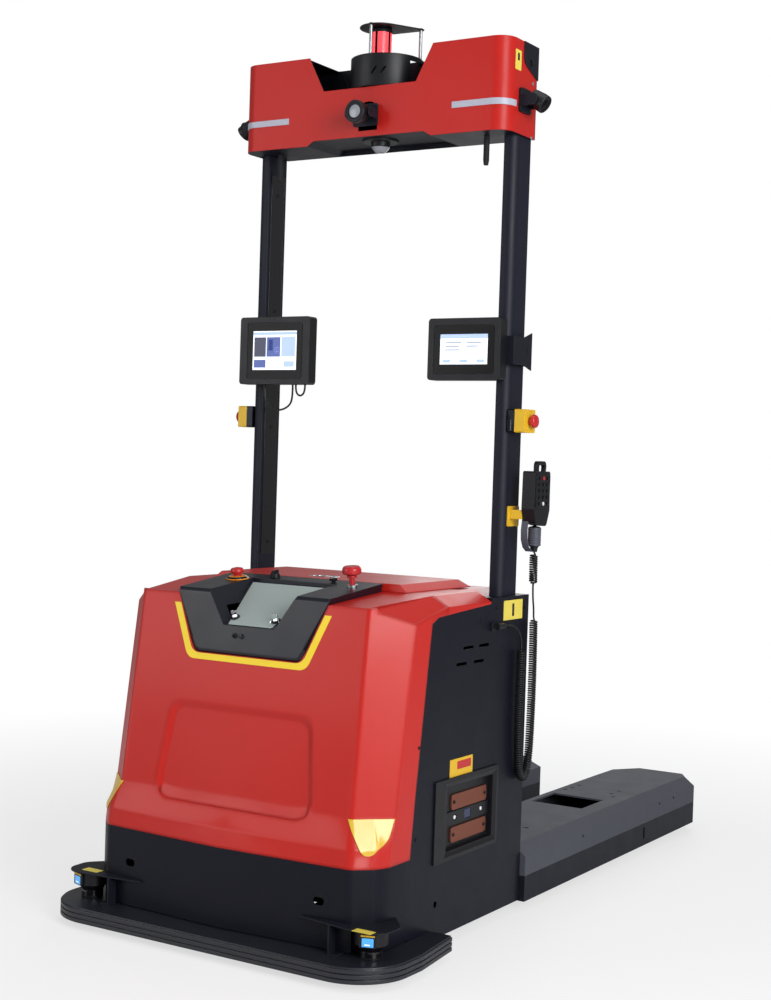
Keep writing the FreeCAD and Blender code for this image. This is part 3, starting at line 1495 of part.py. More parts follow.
# ------------------------------------------------------------------ charging port and fasteners
def make_charging():
    """Recessed charging housing in the right side with its two copper plates."""
    body = new_body("charging_housing")
    front, rear, low, high = port_front, port_rear, port_low, port_high
    floor = body_half - 18
    pad(
        body, "YZ", [box(front + fit_gap, low + fit_gap, rear - fit_gap, high - fit_gap, 7.6)], floor - 4,
        body_half,
    )
    pocket(body, "YZ", [box(front + 5, low + 5, rear - 5, high - 5, 5)], floor, body_half)
    pad(body, "YZ", [box(front + 8, 320.5, rear - 8, 357)], floor, floor + 6)
    for y in (-153, -4):
        pocket(body, "YZ", [Circle(y, 339, 9)], floor + 4, floor + 6)
    pocket(body, "YZ", [box(-100, 326, -63, 352)], floor + 4, floor + 6)
    place(body)
    collar = new_body("port_collar")
    outer = box(front - 66, low - 18, rear + 18, high + 20, 4)
    pad(collar, "YZ", [outer], body_half, body_half + port_collar)
    near = box(front + 5, low + 5, rear - 5, high - 5)
    far = box(front - 16, low - 10, rear + 10, high + 10)
    loft(collar, "YZ", [(body_half - 1, near), (body_half + port_collar + 1, far)], cuts=True)
    place(collar)
    grouped("charging_housing", [body, collar])
    plates = []
    for low_z in (270, 359.5):
        plate = new_body("contact_plate")
        pad(plate, "YZ", [box(-170, low_z, 27, low_z + 42.5, 8)], floor, floor + 5)
        place(plate)
        plates.append(plate)
    grouped("charging_contacts", plates)


def make_fasteners():
    """Screw heads on the gantry's ends."""
    solids = []
    for z in (2224, 2392):
        head = new_body("screw")
        turn(head, [(0, 0), (5, 0), (5, 2), (3, 3), (0, 3)])
        place(head, gantry_half, 153.5, z + (15 if z < 2237 else 0), (0, 1, 0), 90)
        solids += [head, mirrored(head)]
    grouped("fasteners", solids)


# ------------------------------------------------------------------ closing
def write_parts():
    """Check every object, then write each node as its own STEP file."""
    document.recompute()
    for thing in document.Objects:
        if "Invalid" in thing.State or "Error" in thing.State:
            raise ValueError("%s (%s) failed: %s" % (thing.Label, thing.Name, thing.State))
    os.makedirs("parts", exist_ok=True)
    for label, thing in NODES.items():
        if thing.Shape.isNull() or not thing.Shape.isValid():
            raise ValueError("%s is not a valid shape" % label)
        thing.Shape.exportStep("parts/%s.step" % label)
    print(len(NODES), "nodes")


make_chassis()
make_front_cover()
make_front_apron()
make_rear_hood()
make_side_panels()
make_console()
make_hatch()
make_masts()
make_gantry_beam()
make_gantry_shroud()
make_gantry_brackets()
make_cameras()
make_lidar()
make_gantry_trim()
make_displays()
make_display_brackets()
make_display_cables()
make_estops()
make_console_controls()
make_pendant()
make_cord()
make_leg_frames()
make_lift()
make_load_wheels()
make_drive()
make_casters()
make_battery()
make_scanners()
make_bumper()
make_charging()
make_fasteners()
write_parts()
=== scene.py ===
"""Looks of the driverless low-lift truck: finishes, cords and modelled pieces dressed over the CAD frame."""

import json
import logging
import math
from contextlib import contextmanager
from dataclasses import dataclass
from enum import Enum
from typing import Any, Callable, Iterator, Sequence

import bmesh
import bpy
from mathutils import Matrix, Vector

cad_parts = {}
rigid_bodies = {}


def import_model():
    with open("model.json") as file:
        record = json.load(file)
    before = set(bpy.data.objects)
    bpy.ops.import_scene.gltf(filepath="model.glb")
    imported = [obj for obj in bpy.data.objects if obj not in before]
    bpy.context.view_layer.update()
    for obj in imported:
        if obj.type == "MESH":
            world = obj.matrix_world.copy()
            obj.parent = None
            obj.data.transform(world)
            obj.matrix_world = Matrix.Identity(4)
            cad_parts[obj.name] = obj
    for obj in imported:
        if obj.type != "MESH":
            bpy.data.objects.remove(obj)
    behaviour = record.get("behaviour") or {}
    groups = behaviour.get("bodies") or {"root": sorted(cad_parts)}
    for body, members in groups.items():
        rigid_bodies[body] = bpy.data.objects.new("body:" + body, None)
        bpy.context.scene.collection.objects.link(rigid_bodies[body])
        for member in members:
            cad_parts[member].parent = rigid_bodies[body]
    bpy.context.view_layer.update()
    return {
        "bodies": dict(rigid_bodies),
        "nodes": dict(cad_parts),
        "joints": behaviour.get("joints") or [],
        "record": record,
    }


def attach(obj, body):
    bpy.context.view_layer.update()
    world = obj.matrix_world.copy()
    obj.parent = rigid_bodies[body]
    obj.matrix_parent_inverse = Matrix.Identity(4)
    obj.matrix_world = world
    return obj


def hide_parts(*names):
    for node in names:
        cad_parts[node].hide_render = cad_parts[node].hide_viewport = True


LOG = logging.getLogger("truck")
Point = tuple[float, float, float]
Flat = tuple[float, float]
BACK = 0.4705
"""Distance in metres from the drawing's zero depth to the frame's origin along Y."""


def spot(x: float, y: float, z: float) -> Point:
    """Turn a drawing point in millimetres into frame metres."""
    return (x / 1000, y / 1000 - BACK, z / 1000)


def shade(code: str, alpha: float = 1.0) -> tuple[float, float, float, float]:
    """Turn a screen colour code into the linear colour that a shader takes.

    Args:
        code: Six hexadecimal digits, such as "c23a32".
        alpha: The fourth value.

    Returns:
        Red, green, blue and alpha.
    """
    parts = [int(code[i : i + 2], 16) / 255 for i in (0, 2, 4)]
    linear = [p / 12.92 if p <= 0.04045 else ((p + 0.055) / 1.055) ** 2.4 for p in parts]
    return (linear[0], linear[1], linear[2], alpha)


# ---------------------------------------------------------------- shader writing


class Wire:
    """A socket that shader maths is written with, so that an expression adds its nodes."""

    def __init__(self, recipe: "Recipe", socket: bpy.types.NodeSocket) -> None:
        """Keep the socket and the recipe that it belongs to."""
        self.recipe = recipe
        self.socket = socket

    def _math(self, operation: str, first: Any, second: Any) -> "Wire":
        """Add a Math node for two values."""
        return self.recipe.node("Math", {"operation": operation}, {0: first, 1: second})

    def __add__(self, other: Any) -> "Wire":
        """Return this plus other."""
        return self._math("ADD", self, other)

    def __radd__(self, other: Any) -> "Wire":
        """Return other plus this."""
        return self._math("ADD", other, self)

    def __sub__(self, other: Any) -> "Wire":
        """Return this minus other."""
        return self._math("SUBTRACT", self, other)

    def __rsub__(self, other: Any) -> "Wire":
        """Return other minus this."""
        return self._math("SUBTRACT", other, self)

    def __mul__(self, other: Any) -> "Wire":
        """Return this times other."""
        return self._math("MULTIPLY", self, other)

    def __rmul__(self, other: Any) -> "Wire":
        """Return other times this."""
        return self._math("MULTIPLY", other, self)

    def __truediv__(self, other: Any) -> "Wire":
        """Return this over other."""
        return self._math("DIVIDE", self, other)

    def __gt__(self, other: Any) -> "Wire":
        """Return one where this is above other."""
        return self._math("GREATER_THAN", self, other)

    def __lt__(self, other: Any) -> "Wire":
        """Return one where this is below other."""
        return self._math("LESS_THAN", self, other)


class Recipe:
    """The node tree of one material, written through one generic method."""

    def __init__(self, name: str) -> None:
        """Start an empty material that has only its output and its main shader.

        Args:
            name: The material's name.
        """
        self.material = bpy.data.materials.new(name)
        self.material.use_nodes = True
        self.tree = self.material.node_tree
        self.tree.nodes.clear()
        self.output = self.tree.nodes.new("ShaderNodeOutputMaterial")
        self.shader = self.tree.nodes.new("ShaderNodeBsdfPrincipled")
        self.tree.links.new(self.shader.outputs[0], self.output.inputs["Surface"])

    def node(
        self,
        kind: str,
        settings: dict[str, Any] | None = None,
        values: dict[Any, Any] | None = None,
        output: Any = 0,
    ) -> Wire:
        """Add any node.

        Args:
            kind: The node's type without its ShaderNode prefix.
            settings: Its properties, set first; "stops" gives a ramp's positions and colours.
            values: Numbers, colours or wires for its input sockets.
            output: The output socket that the returned wire stands for.

        Returns:
            The chosen output.
        """
        made = self.tree.nodes.new("ShaderNode" + kind)
        for name, value in (settings or {}).items():
            if name == "stops":
                self._set_stops(made.color_ramp, value)
            else:
                setattr(made, name, value)
        for name, value in (values or {}).items():
            self.feed(made.inputs[name], value)
        return Wire(self, made.outputs[output])

    @staticmethod
    def _set_stops(ramp: bpy.types.ColorRamp, stops: Sequence[tuple[float, Any]]) -> None:
        """Give a colour ramp its stops.

        Args:
            ramp: The colour ramp.
            stops: Each stop's position and colour.
        """
        while len(ramp.elements) < len(stops):
            ramp.elements.new(1.0)
        for element, (place, colour) in zip(ramp.elements, stops):
            element.position = place
            element.color = colour

    def feed(self, socket: bpy.types.NodeSocket, value: Any) -> None:
        """Link a wire to a socket, or set its plain value.

        Args:
            socket: An input socket.
            value: A wire, a number or a colour.
        """
        if isinstance(value, Wire):
            self.tree.links.new(value.socket, socket)
        else:
            socket.default_value = value

    def set(self, **values: Any) -> None:
        """Set inputs of the main shader; an underscore stands for a space in a socket's name."""
        for name, value in values.items():
            self.feed(self.shader.inputs[name.replace("_", " ")], value)

    def place(self) -> Wire:
        """Return the position on the piece in metres."""
        return self.node("TexCoord", output="Object")

    def axis(self, name: str) -> Wire:
        """Return one coordinate of the position, X, Y or Z."""
        return self.node("SeparateXYZ", values={0: self.place()}, output=name)

    def noise(self, scale: float, detail: float = 3.0, stretch: Point = (1.0, 1.0, 1.0)) -> Wire:
        """Return fractal noise from 0 to 1 on the position, stretched along the axes."""
        where = self.node("Mapping", values={"Vector": self.place(), "Scale": stretch})
        return self.node("TexNoise", values={"Vector": where, "Scale": scale, "Detail": detail})

    def blend(self, factor: Any, first: Any, second: Any) -> Wire:
        """Mix two colours by a factor."""
        return self.node(
            "Mix", {"data_type": "RGBA"}, {0: factor, 6: first, 7: second}, output=2
        )

    def ramp(self, value: Any, *stops: tuple[float, Any]) -> Wire:
        """Map a value to colours or greys at stops."""
        full = [(p, c if isinstance(c, tuple) else (c, c, c, 1.0)) for p, c in stops]
        return self.node("ValToRGB", {"stops": full}, {0: value})

    def rounded(self, radius: float) -> Wire:
        """Return the normal of edges softened by a radius in metres."""
        return self.node("Bevel", {"samples": 6}, {"Radius": radius})

    def bump(self, height: Wire, strength: float, distance: float, radius: float = 0.0) -> Wire:
        """Return the normal of a raised pattern.

        Args:
            height: The pattern.
            strength: Its strength, 0 to 1.
            distance: Its height in metres.
            radius: A radius that softens the edges as well, or none.

        Returns:
            The normal.
        """
        values: dict[Any, Any] = {"Strength": strength, "Distance": distance, "Height": height}
        if radius:
            values["Normal"] = self.rounded(radius)
        return self.node("Bump", values=values)

    def wear(self, radius: float) -> Wire:
        """Return a mask that is one on sharp outer edges and zero on flat ground."""
        normal = self.node("NewGeometry", output="Normal")
        soft = self.rounded(radius)
        return 1.0 - self.node("VectorMath", {"operation": "DOT_PRODUCT"}, {0: normal, 1: soft}, 1)


# ---------------------------------------------------------------- finishes


@dataclass(frozen=True)
class Finish:
    """A solid finish with colour drift, fine grain and softened edges."""

    name: str
    colour: str
    roughness: float = 0.5
    metallic: float = 0.0
    coat: float = 0.0
    drift: float = 0.06
    grain: float = 900.0
    depth: float = 0.00006
    edge: float = 0.0015
    edge_colour: str = ""
    shine: float = 0.4

    def tint(self, recipe: Recipe) -> Any:
        """Return the base colour with a slow drift and paler edges.

        Args:
            recipe: The material's node tree.

        Returns:
            The base colour.
        """
        base = shade(self.colour)
        dark = tuple(c * (1 - self.drift) for c in base[:3]) + (1.0,)
        light = tuple(min(1.0, c * (1 + self.drift)) for c in base[:3]) + (1.0,)
        colour = recipe.blend(recipe.noise(3.1, 4.0), dark, light)
        if self.edge_colour:
            mask = recipe.wear(self.edge) * recipe.noise(60.0, 5.0) * 3.0
            colour = recipe.blend(mask, colour, shade(self.edge_colour))
        return colour

    def sheen_map(self, recipe: Recipe) -> Any:
        """Return the roughness with faint handling marks."""
        return (recipe.noise(14.0, 6.0) - 0.5) * 0.16 + self.roughness

    def relief(self, recipe: Recipe) -> Wire:
        """Return the surface normal with its grain."""
        return recipe.bump(recipe.noise(self.grain, 2.0), 0.35, self.depth, self.edge)

    def material(self) -> bpy.types.Material:
        """Write the material's nodes."""
        recipe = Recipe(self.name)
        recipe.set(
            Base_Color=self.tint(recipe),
            Roughness=self.sheen_map(recipe),
            Metallic=self.metallic,
            Coat_Weight=self.coat,
            Coat_Roughness=0.12,
            Specular_IOR_Level=self.shine,
            Normal=self.relief(recipe),
        )
        return recipe.material


@dataclass(frozen=True)
class BrushedMetal(Finish):
    """A metal with fine drawn lines along one axis."""

    stretch: Point = (1.0, 1.0, 14.0)

    def relief(self, recipe: Recipe) -> Wire:
        """Return the normal of the drawn lines."""
        lines = recipe.noise(self.grain, 2.0, self.stretch)
        return recipe.bump(lines, 0.3, self.depth, self.edge)

    def sheen_map(self, recipe: Recipe) -> Any:
        """Return the roughness, which follows the lines."""
        return recipe.noise(self.grain * 0.5, 2.0, self.stretch) * 0.18 + self.roughness


@dataclass(frozen=True)
class GrainedPlastic(Finish):
    """A moulded plastic with a leathery tool grain."""

    def relief(self, recipe: Recipe) -> Wire:
        """Return the normal of the grain's small cells."""
        cells = recipe.node("TexVoronoi", values={"Vector": recipe.place(), "Scale": self.grain})
        return recipe.bump(cells, 0.4, self.depth, self.edge)


@dataclass(frozen=True)
class Gritty(Finish):
    """An anti-slip coating with coarse grit."""

    def relief(self, recipe: Recipe) -> Wire:
        """Return the normal of two sizes of grit."""
        grit = recipe.noise(self.grain, 4.0) * 0.6 + recipe.noise(self.grain * 0.35, 3.0) * 0.6
        return recipe.bump(grit, 0.7, self.depth, self.edge)


@dataclass(frozen=True)
class Lamp(Finish):
    """A diffuser or a lit part with its own light, or a part whose glow is painted light."""

    glow: str = "ffffff"
    strength: float = 1.0

    def material(self) -> bpy.types.Material:
        """Write the material's nodes."""
        recipe = Recipe(self.name)
        bands = recipe.node(
            "TexWave",
            {"wave_type": "BANDS", "bands_direction": "X"},
            {"Vector": recipe.place(), "Scale": 60.0, "Distortion": 0.4},
        )
        lit = recipe.blend(bands * 0.35, shade(self.glow), shade(self.colour))
        recipe.set(
            Base_Color=self.tint(recipe),
            Roughness=self.sheen_map(recipe),
            Emission_Color=lit,
            Emission_Strength=self.strength,
            Coat_Weight=self.coat,
            Normal=recipe.rounded(self.edge),
        )
        return recipe.material


class Finishes(Enum):
    """Every finish of the truck."""

    RED = Finish("red_satin_paint", "bf2018", 0.36, coat=0.12, grain=520.0, edge=0.004, shine=0.3)
    RED_NOSE = Finish("red_nose_paint", "bf2018", 0.36, coat=0.12, grain=520.0, edge=0.013, shine=0.3)
    RED_GANTRY = Finish("red_gantry_paint", "ba201a", 0.42, coat=0.05, grain=520.0, edge=0.002, shine=0.25)
    DARK = Finish(
        "blue_black_paint", "0f111c", 0.42, coat=0.02, grain=700.0, depth=0.00009, edge=0.0018, shine=0.18
    )
    MAST = Finish("mast_paint", "171926", 0.5, grain=600.0, depth=0.00008, edge=0.004, shine=0.24)
    STEEL_DARK = Finish(
        "dark_powder_coat", "171922", 0.5, grain=800.0, depth=0.00012, edge=0.0012,
        edge_colour="4a4b52", shine=0.22,
    )
    DECK = Gritty("grit_deck_paint", "494b54", 0.72, grain=650.0, depth=0.0004, edge=0.0012)
    PLASTIC = GrainedPlastic("black_moulded_plastic", "121318", 0.42, grain=1400.0, depth=0.0001, shine=0.35)
    GREY = GrainedPlastic("grey_grip_rubber", "4c4e5a", 0.5, grain=1400.0, depth=0.0001)
    CONSOLE = GrainedPlastic(
        "console_plastic", "12141f", 0.36, coat=0.12, grain=1300.0, depth=0.00008, edge=0.003, shine=0.4
    )
    GLOSS = Finish("gloss_black_cover", "0a0a0f", 0.1, coat=0.5, grain=80.0, depth=0.00002, edge=0.0005)
    GLASS = Finish(
        "display_glass", "050507", 0.2, coat=0.04, grain=60.0, depth=0.00001, edge=0.0004, shine=0.12
    )
    RUBBER = Gritty("black_rubber", "1a1a1f", 0.68, grain=500.0, depth=0.0002, shine=0.3)
    YELLOW = Finish("safety_yellow", "e0b422", 0.42, coat=0.08, grain=900.0)
    AMBER = Finish("amber_collar", "e08a10", 0.36, coat=0.15, grain=900.0)
    STRIPE = Finish("yellow_stripe_film", "f7d60c", 0.38, coat=0.15, drift=0.03, grain=400.0, edge=0.0005)
    LEMON = Finish("lemon_label_film", "e9d558", 0.4, coat=0.1, drift=0.03, grain=400.0, edge=0.0005)
    STOP = Finish("stop_red_plastic", "bd2226", 0.34, coat=0.2, grain=700.0, edge=0.0012)
    STEEL = BrushedMetal("zinc_steel", "b9bcc0", 0.32, metallic=1.0, grain=500.0, depth=0.00005)
    SCREW = Finish("black_screw", "26272e", 0.3, metallic=0.8, grain=900.0, edge=0.0004)
    CHROME = Finish("polished_chrome", "dfe1e5", 0.1, metallic=1.0, grain=200.0, depth=0.00002, edge=0.0008)
    COPPER = BrushedMetal(
        "contact_copper", "8e5644", 0.42, metallic=0.7, grain=420.0, stretch=(14.0, 14.0, 1.0)
    )
    TRAY = BrushedMetal(
        "tray_sheet", "a9b6b3", 0.42, metallic=0.2, grain=300.0, depth=0.00003, stretch=(1.0, 9.0, 9.0)
    )
    TYRE = Finish("polyurethane_tyre", "8d3a2c", 0.5, grain=600.0, drift=0.12)
    BATTERY = Finish("battery_case", "3b4a57", 0.5, grain=300.0)
    CORD = Finish("cord_sleeve", "131418", 0.5, grain=2500.0, depth=0.00005, edge=0.0)
    BUMPER = Gritty("bumper_rubber", "1b1d26", 0.4, grain=500.0, depth=0.00012, edge=0.003, shine=0.6)
    WHITE = Finish("white_print", "dfe3e6", 0.45, grain=900.0, edge=0.0003)
    STRIP = Lamp("light_strip_diffuser", "a6a8b6", 0.4, glow="b2b4c2", strength=0.12)
    LENS = Lamp("corner_lens", "d2ab34", 0.25, coat=0.15, glow="f0cc48", strength=0.12, shine=0.3)
    DOME = Finish("smoked_dome", "8f939a", 0.12, coat=0.4, grain=60.0, depth=0.00001, edge=0.0004, shine=0.5)
    SCREEN_PALE = Lamp("screen_pale", "dfe6ee", 0.2, glow="e6edf6", strength=0.75)
    SCREEN_BAR = Lamp("screen_bar", "9fb4d6", 0.2, glow="9db4dc", strength=0.6)
    SCREEN_BLUE = Lamp("screen_blue", "34488c", 0.2, glow="3a4f9c", strength=0.55)
    SCREEN_NIGHT = Lamp("screen_night", "1c2240", 0.2, glow="20284e", strength=0.4)
    SCREEN_GREY = Lamp("screen_grey", "8d97a8", 0.2, glow="8f9aac", strength=0.5)
    SCANNER_BLUE = Lamp("scanner_display", "3f8fd0", 0.15, coat=0.4, glow="4aa0e6", strength=0.7)
    # The lidar drum is no lamp: its emitted red is painted glow, painted light on the drum.
    GLOW = Lamp("red_drum_painted_glow", "e8474f", 0.2, coat=0.4, glow="f0404c", strength=0.9)


class Dresser:
    """Makes each finish once and lays it on pieces and CAD nodes."""

    def __init__(self) -> None:
        """Start with no material made."""
        self.made: dict[str, bpy.types.Material] = {}

    def get(self, finish: Finishes) -> bpy.types.Material:
        """Return a finish's material, made on first use."""
        if finish.name not in self.made:
            self.made[finish.name] = finish.value.material()
        return self.made[finish.name]

    def dress(self, piece: bpy.types.Object, finish: Finishes) -> None:
        """Lay one finish over a whole new piece."""
        piece.data.materials.clear()
        piece.data.materials.append(self.get(finish))

    def cover(self, node: bpy.types.Object, finish: Finishes) -> None:
        """Lay a finish on a CAD node's own slots."""
        for place in node.material_slots:
            place.material = self.get(finish)


FINISHED_NODES: dict[Finishes, tuple[str, ...]] = {
    Finishes.STEEL_DARK: (
        "chassis_frame", "scanner_mounts", "gantry_beam", "gantry_brackets", "display_brackets",
        "leg_frames", "drive_turret",
    ),
    Finishes.DARK: ("front_apron", "side_panel_left", "side_panel_right"),
    Finishes.RED: ("front_cover", "rear_hood", "battery_hatch"),
    Finishes.CONSOLE: ("console_moulding",),
    Finishes.PLASTIC: (
        "scanners", "dome_camera", "lidar_housing", "lidar_hat", "displays", "pendant_body",
        "cord_socket", "steer_motor", "charging_housing", "start_button", "selector_knob",
        "front_camera", "side_camera_left", "side_camera_right",
    ),
    Finishes.BUMPER: ("bumper_skirt",),
    Finishes.MAST: ("masts",),
    Finishes.RED_GANTRY: ("gantry_shroud",),
    Finishes.STRIP: ("light_lenses",),
    Finishes.RUBBER: ("antennas",),
    Finishes.CORD: ("display_cables", "cord_upper_coil", "cord_link", "cord_lower_coil", "cord_tail"),
    Finishes.YELLOW: ("estop_boxes", "pendant_holder"),
    Finishes.STEEL: ("lift_cylinders", "fasteners", "caster_fork_left", "caster_fork_right"),
    Finishes.BATTERY: ("battery",),
    Finishes.COPPER: ("charging_contacts",),
    Finishes.DECK: ("lift_deck_left", "lift_deck_right"),
    Finishes.TYRE: (
        "load_wheel_left", "load_wheel_right", "drive_wheel", "caster_wheel_left", "caster_wheel_right",
    ),
    Finishes.STOP: (
        "estop_button_left", "estop_button_right", "estop_button_console", "disconnect_switch",
    ),
    Finishes.CHROME: ("key_switch_left", "key_switch_right"),
    Finishes.GLOW: ("lidar_rotor",),
}
"""Which finish each CAD node has, before the pieces that stand for some of them are dressed."""


# ---------------------------------------------------------------- modelling by hand


class Pick(Enum):
    """What an edit selects."""

    CORNER = (True, False, False)
    EDGE = (False, True, False)
    FACE = (False, False, True)


class Bench:
    """Hand tools: each drives Blender's own operators on one piece at a time."""

    @staticmethod
    def clear() -> None:
        """Deselect everything, so that an operator acts only on the piece in hand."""
        bpy.ops.object.select_all(action="DESELECT")

    @staticmethod
    def take(piece: bpy.types.Object) -> None:
        """Make one piece the only selected and active one."""
        Bench.clear()
        piece.select_set(True)
        bpy.context.view_layer.objects.active = piece

    @staticmethod
    def name(label: str) -> bpy.types.Object:
        """Name the primitive just added, put its place into its mesh and return it.

        Args:
            label: The piece's name.

        Returns:
            The piece.
        """
        piece = bpy.context.object
        piece.name = label
        piece.data.name = label
        bpy.ops.object.transform_apply(location=True, rotation=True, scale=True)
        return piece

    @staticmethod
    def block(label: str, low: Point, high: Point) -> bpy.types.Object:
        """Start from a cube between two corners.

        Args:
            label: The block's name.
            low: Its lowest corner in metres.
            high: Its highest corner in metres.

        Returns:
            The block.
        """
        Bench.clear()
        middle = [(a + b) / 2 for a, b in zip(low, high)]
        size = [b - a for a, b in zip(low, high)]
        bpy.ops.mesh.primitive_cube_add(size=1.0, location=middle, scale=size)
        return Bench.name(label)

    @staticmethod
    @contextmanager
    def edit(piece: bpy.types.Object, pick: Pick = Pick.FACE) -> Iterator[None]:
        """Open a piece in edit mode with nothing selected, and close it after.

        Args:
            piece: The piece to open.
            pick: What is selected: corners, edges or faces.

        Yields:
            Nothing; the piece is in edit mode meanwhile.
        """
        Bench.take(piece)
        bpy.ops.object.mode_set(mode="EDIT")
        bpy.context.tool_settings.mesh_select_mode = pick.value
        bpy.ops.mesh.select_all(action="DESELECT")
        yield
        bpy.ops.object.mode_set(mode="OBJECT")

    @staticmethod
    def pick_faces(piece: bpy.types.Object, test: Callable[[bmesh.types.BMFace], bool]) -> int:
        """Select the faces that pass a test, and nothing else.

        Args:
            piece: The piece in edit mode.
            test: Says whether a face is wanted.

        Returns:
            How many faces were selected.
        """
        mesh = bmesh.from_edit_mesh(piece.data)
        bpy.ops.mesh.select_all(action="DESELECT")
        found = 0
        for face in mesh.faces:
            wanted = bool(test(face))
            face.select_set(wanted)
            found += wanted
        mesh.select_flush_mode()
        bmesh.update_edit_mesh(piece.data)
        return found

    @staticmethod
    def pick_edges(piece: bpy.types.Object, test: Callable[[bmesh.types.BMEdge], bool]) -> int:
        """Select the edges that pass a test, and nothing else.

        Args:
            piece: The piece in edit mode.
            test: Says whether an edge is wanted.

        Returns:
            How many edges were selected.
        """
        mesh = bmesh.from_edit_mesh(piece.data)
        bpy.ops.mesh.select_all(action="DESELECT")
        found = 0
        for edge in mesh.edges:
            wanted = bool(test(edge))
            edge.select_set(wanted)
            found += wanted
        mesh.select_flush_mode()
        bmesh.update_edit_mesh(piece.data)
        return found

    @staticmethod
    def sheet(label: str, outline: Sequence[Point]) -> bpy.types.Object:
        """Draw a closed outline by extruding a corner along it, and fill it with one face.

        Args:
            label: The piece's name.
            outline: The corners in order.

        Returns:
            The new piece.
        """
        Bench.clear()
        bpy.ops.mesh.primitive_plane_add(size=0.001, location=outline[0])
        piece = Bench.name(label)
        with Bench.edit(piece, Pick.CORNER):
            bpy.ops.mesh.select_all(action="SELECT")
            bpy.ops.mesh.merge(type="CENTER")
            for here, there in zip(outline, outline[1:]):
                step = [b - a for a, b in zip(here, there)]
                bpy.ops.mesh.extrude_vertices_move(TRANSFORM_OT_translate={"value": step})
            bpy.ops.mesh.select_all(action="SELECT")
            bpy.ops.mesh.edge_face_add()
        return piece

    @staticmethod
    def prism(label: str, outline: Sequence[Point], step: Point) -> bpy.types.Object:
        """Raise a closed outline into a solid.

        Args:
            label: The piece's name.
            outline: The corners in order.
            step: The direction and length that the face is extruded by.

        Returns:
            The new piece.
        """
        piece = Bench.sheet(label, outline)
        with Bench.edit(piece):
            bpy.ops.mesh.select_all(action="SELECT")
            bpy.ops.mesh.extrude_region_move(TRANSFORM_OT_translate={"value": step})
            bpy.ops.mesh.select_all(action="SELECT")
            bpy.ops.mesh.normals_make_consistent(inside=False)
        return piece

    @staticmethod
    def lathe(
        label: str,
        profile: Sequence[Flat],
        centre: Point,
        aim: Point = (0.0, 0.0, 1.0),
        steps: int = 48,
    ) -> bpy.types.Object:
        """Spin a profile about an axis into a closed solid.

        Args:
            label: The piece's name.
            profile: Radius and height pairs from the axis out and back to the axis.
            centre: The point on the axis at height zero.
            aim: The axis.
            steps: Faces round the axis.

        Returns:
            The new piece.
        """
        turn = Vector((0.0, 0.0, 1.0)).rotation_difference(Vector(aim)).to_matrix()
        place = Vector(centre)
        line = [turn @ Vector((r, 0.0, h)) + place for r, h in profile]
        Bench.clear()
        bpy.ops.mesh.primitive_plane_add(size=0.0002, location=line[0])
        piece = Bench.name(label)
        with Bench.edit(piece, Pick.CORNER):
            bpy.ops.mesh.select_all(action="SELECT")
            bpy.ops.mesh.merge(type="CENTER")
            for here, there in zip(line, line[1:]):
                bpy.ops.mesh.extrude_vertices_move(TRANSFORM_OT_translate={"value": there - here})
            bpy.ops.mesh.select_all(action="SELECT")
            bpy.ops.mesh.spin(steps=steps, angle=math.tau, center=place, axis=turn @ Vector((0, 0, 1)))
            bpy.ops.mesh.select_all(action="SELECT")
            bpy.ops.mesh.remove_doubles(threshold=0.00001)
            bpy.ops.mesh.normals_make_consistent(inside=False)
        return piece

    @staticmethod
    def modify(piece: bpy.types.Object, kind: str, **settings: Any) -> None:
        """Add a modifier, set it and apply it.

        Args:
            piece: The piece.
            kind: The modifier's type.
            settings: Its properties.
        """
        Bench.take(piece)
        modifier = piece.modifiers.new(kind.lower(), kind)
        for name, value in settings.items():
            setattr(modifier, name, value)
        bpy.ops.object.modifier_apply(modifier=modifier.name)

    @staticmethod
    def soften(piece: bpy.types.Object, width: float, segments: int = 3, angle: float = 30.0) -> None:
        """Round the edges sharper than an angle and smooth the shading.

        Args:
            piece: The piece.
            width: How far the rounding reaches, in metres.
            segments: Faces across the rounding.
            angle: The least bend that is rounded, in degrees.
        """
        Bench.modify(
            piece,
            "BEVEL",
            width=width,
            segments=segments,
            limit_method="ANGLE",
            angle_limit=math.radians(angle),
            use_clamp_overlap=True,
        )
        Bench.smooth(piece)
        Bench.modify(piece, "WEIGHTED_NORMAL", mode="FACE_AREA", weight=50, keep_sharp=True)

    @staticmethod
    def smooth(piece: bpy.types.Object, angle: float = 40.0) -> None:
        """Shade a piece smooth except across edges sharper than an angle."""
        Bench.take(piece)
        bpy.ops.object.shade_smooth_by_angle(angle=math.radians(angle))

    @staticmethod
    def cut(piece: bpy.types.Object, tool: bpy.types.Object, operation: str = "DIFFERENCE") -> None:
        """Cut a piece with a tool solid, and throw the tool away."""
        Bench.modify(piece, "BOOLEAN", operation=operation, object=tool, solver="EXACT")
        bpy.data.objects.remove(tool, do_unlink=True)

    @staticmethod
    def join(label: str, parts: Sequence[bpy.types.Object]) -> bpy.types.Object:
        """Join several parts into one named piece.

        Args:
            label: The joined piece's name.
            parts: The parts, the first of which is kept.

        Returns:
            The joined piece.
        """
        Bench.clear()
        for part in parts:
            part.select_set(True)
        bpy.context.view_layer.objects.active = parts[0]
        if len(parts) > 1:
            bpy.ops.object.join()
        piece = bpy.context.view_layer.objects.active
        piece.name = label
        piece.data.name = label
        return piece

    @staticmethod
    def copy(piece: bpy.types.Object, label: str, change: Matrix) -> bpy.types.Object:
        """Copy a piece with its own mesh and put a change of place into it.

        Args:
            piece: The piece to copy.
            label: The copy's name.
            change: The transform, which doesn't mirror.

        Returns:
            The copy.
        """
        double = piece.copy()
        double.data = piece.data.copy()
        double.name = label
        double.data.name = label
        bpy.context.collection.objects.link(double)
        double.data.transform(change)
        return double

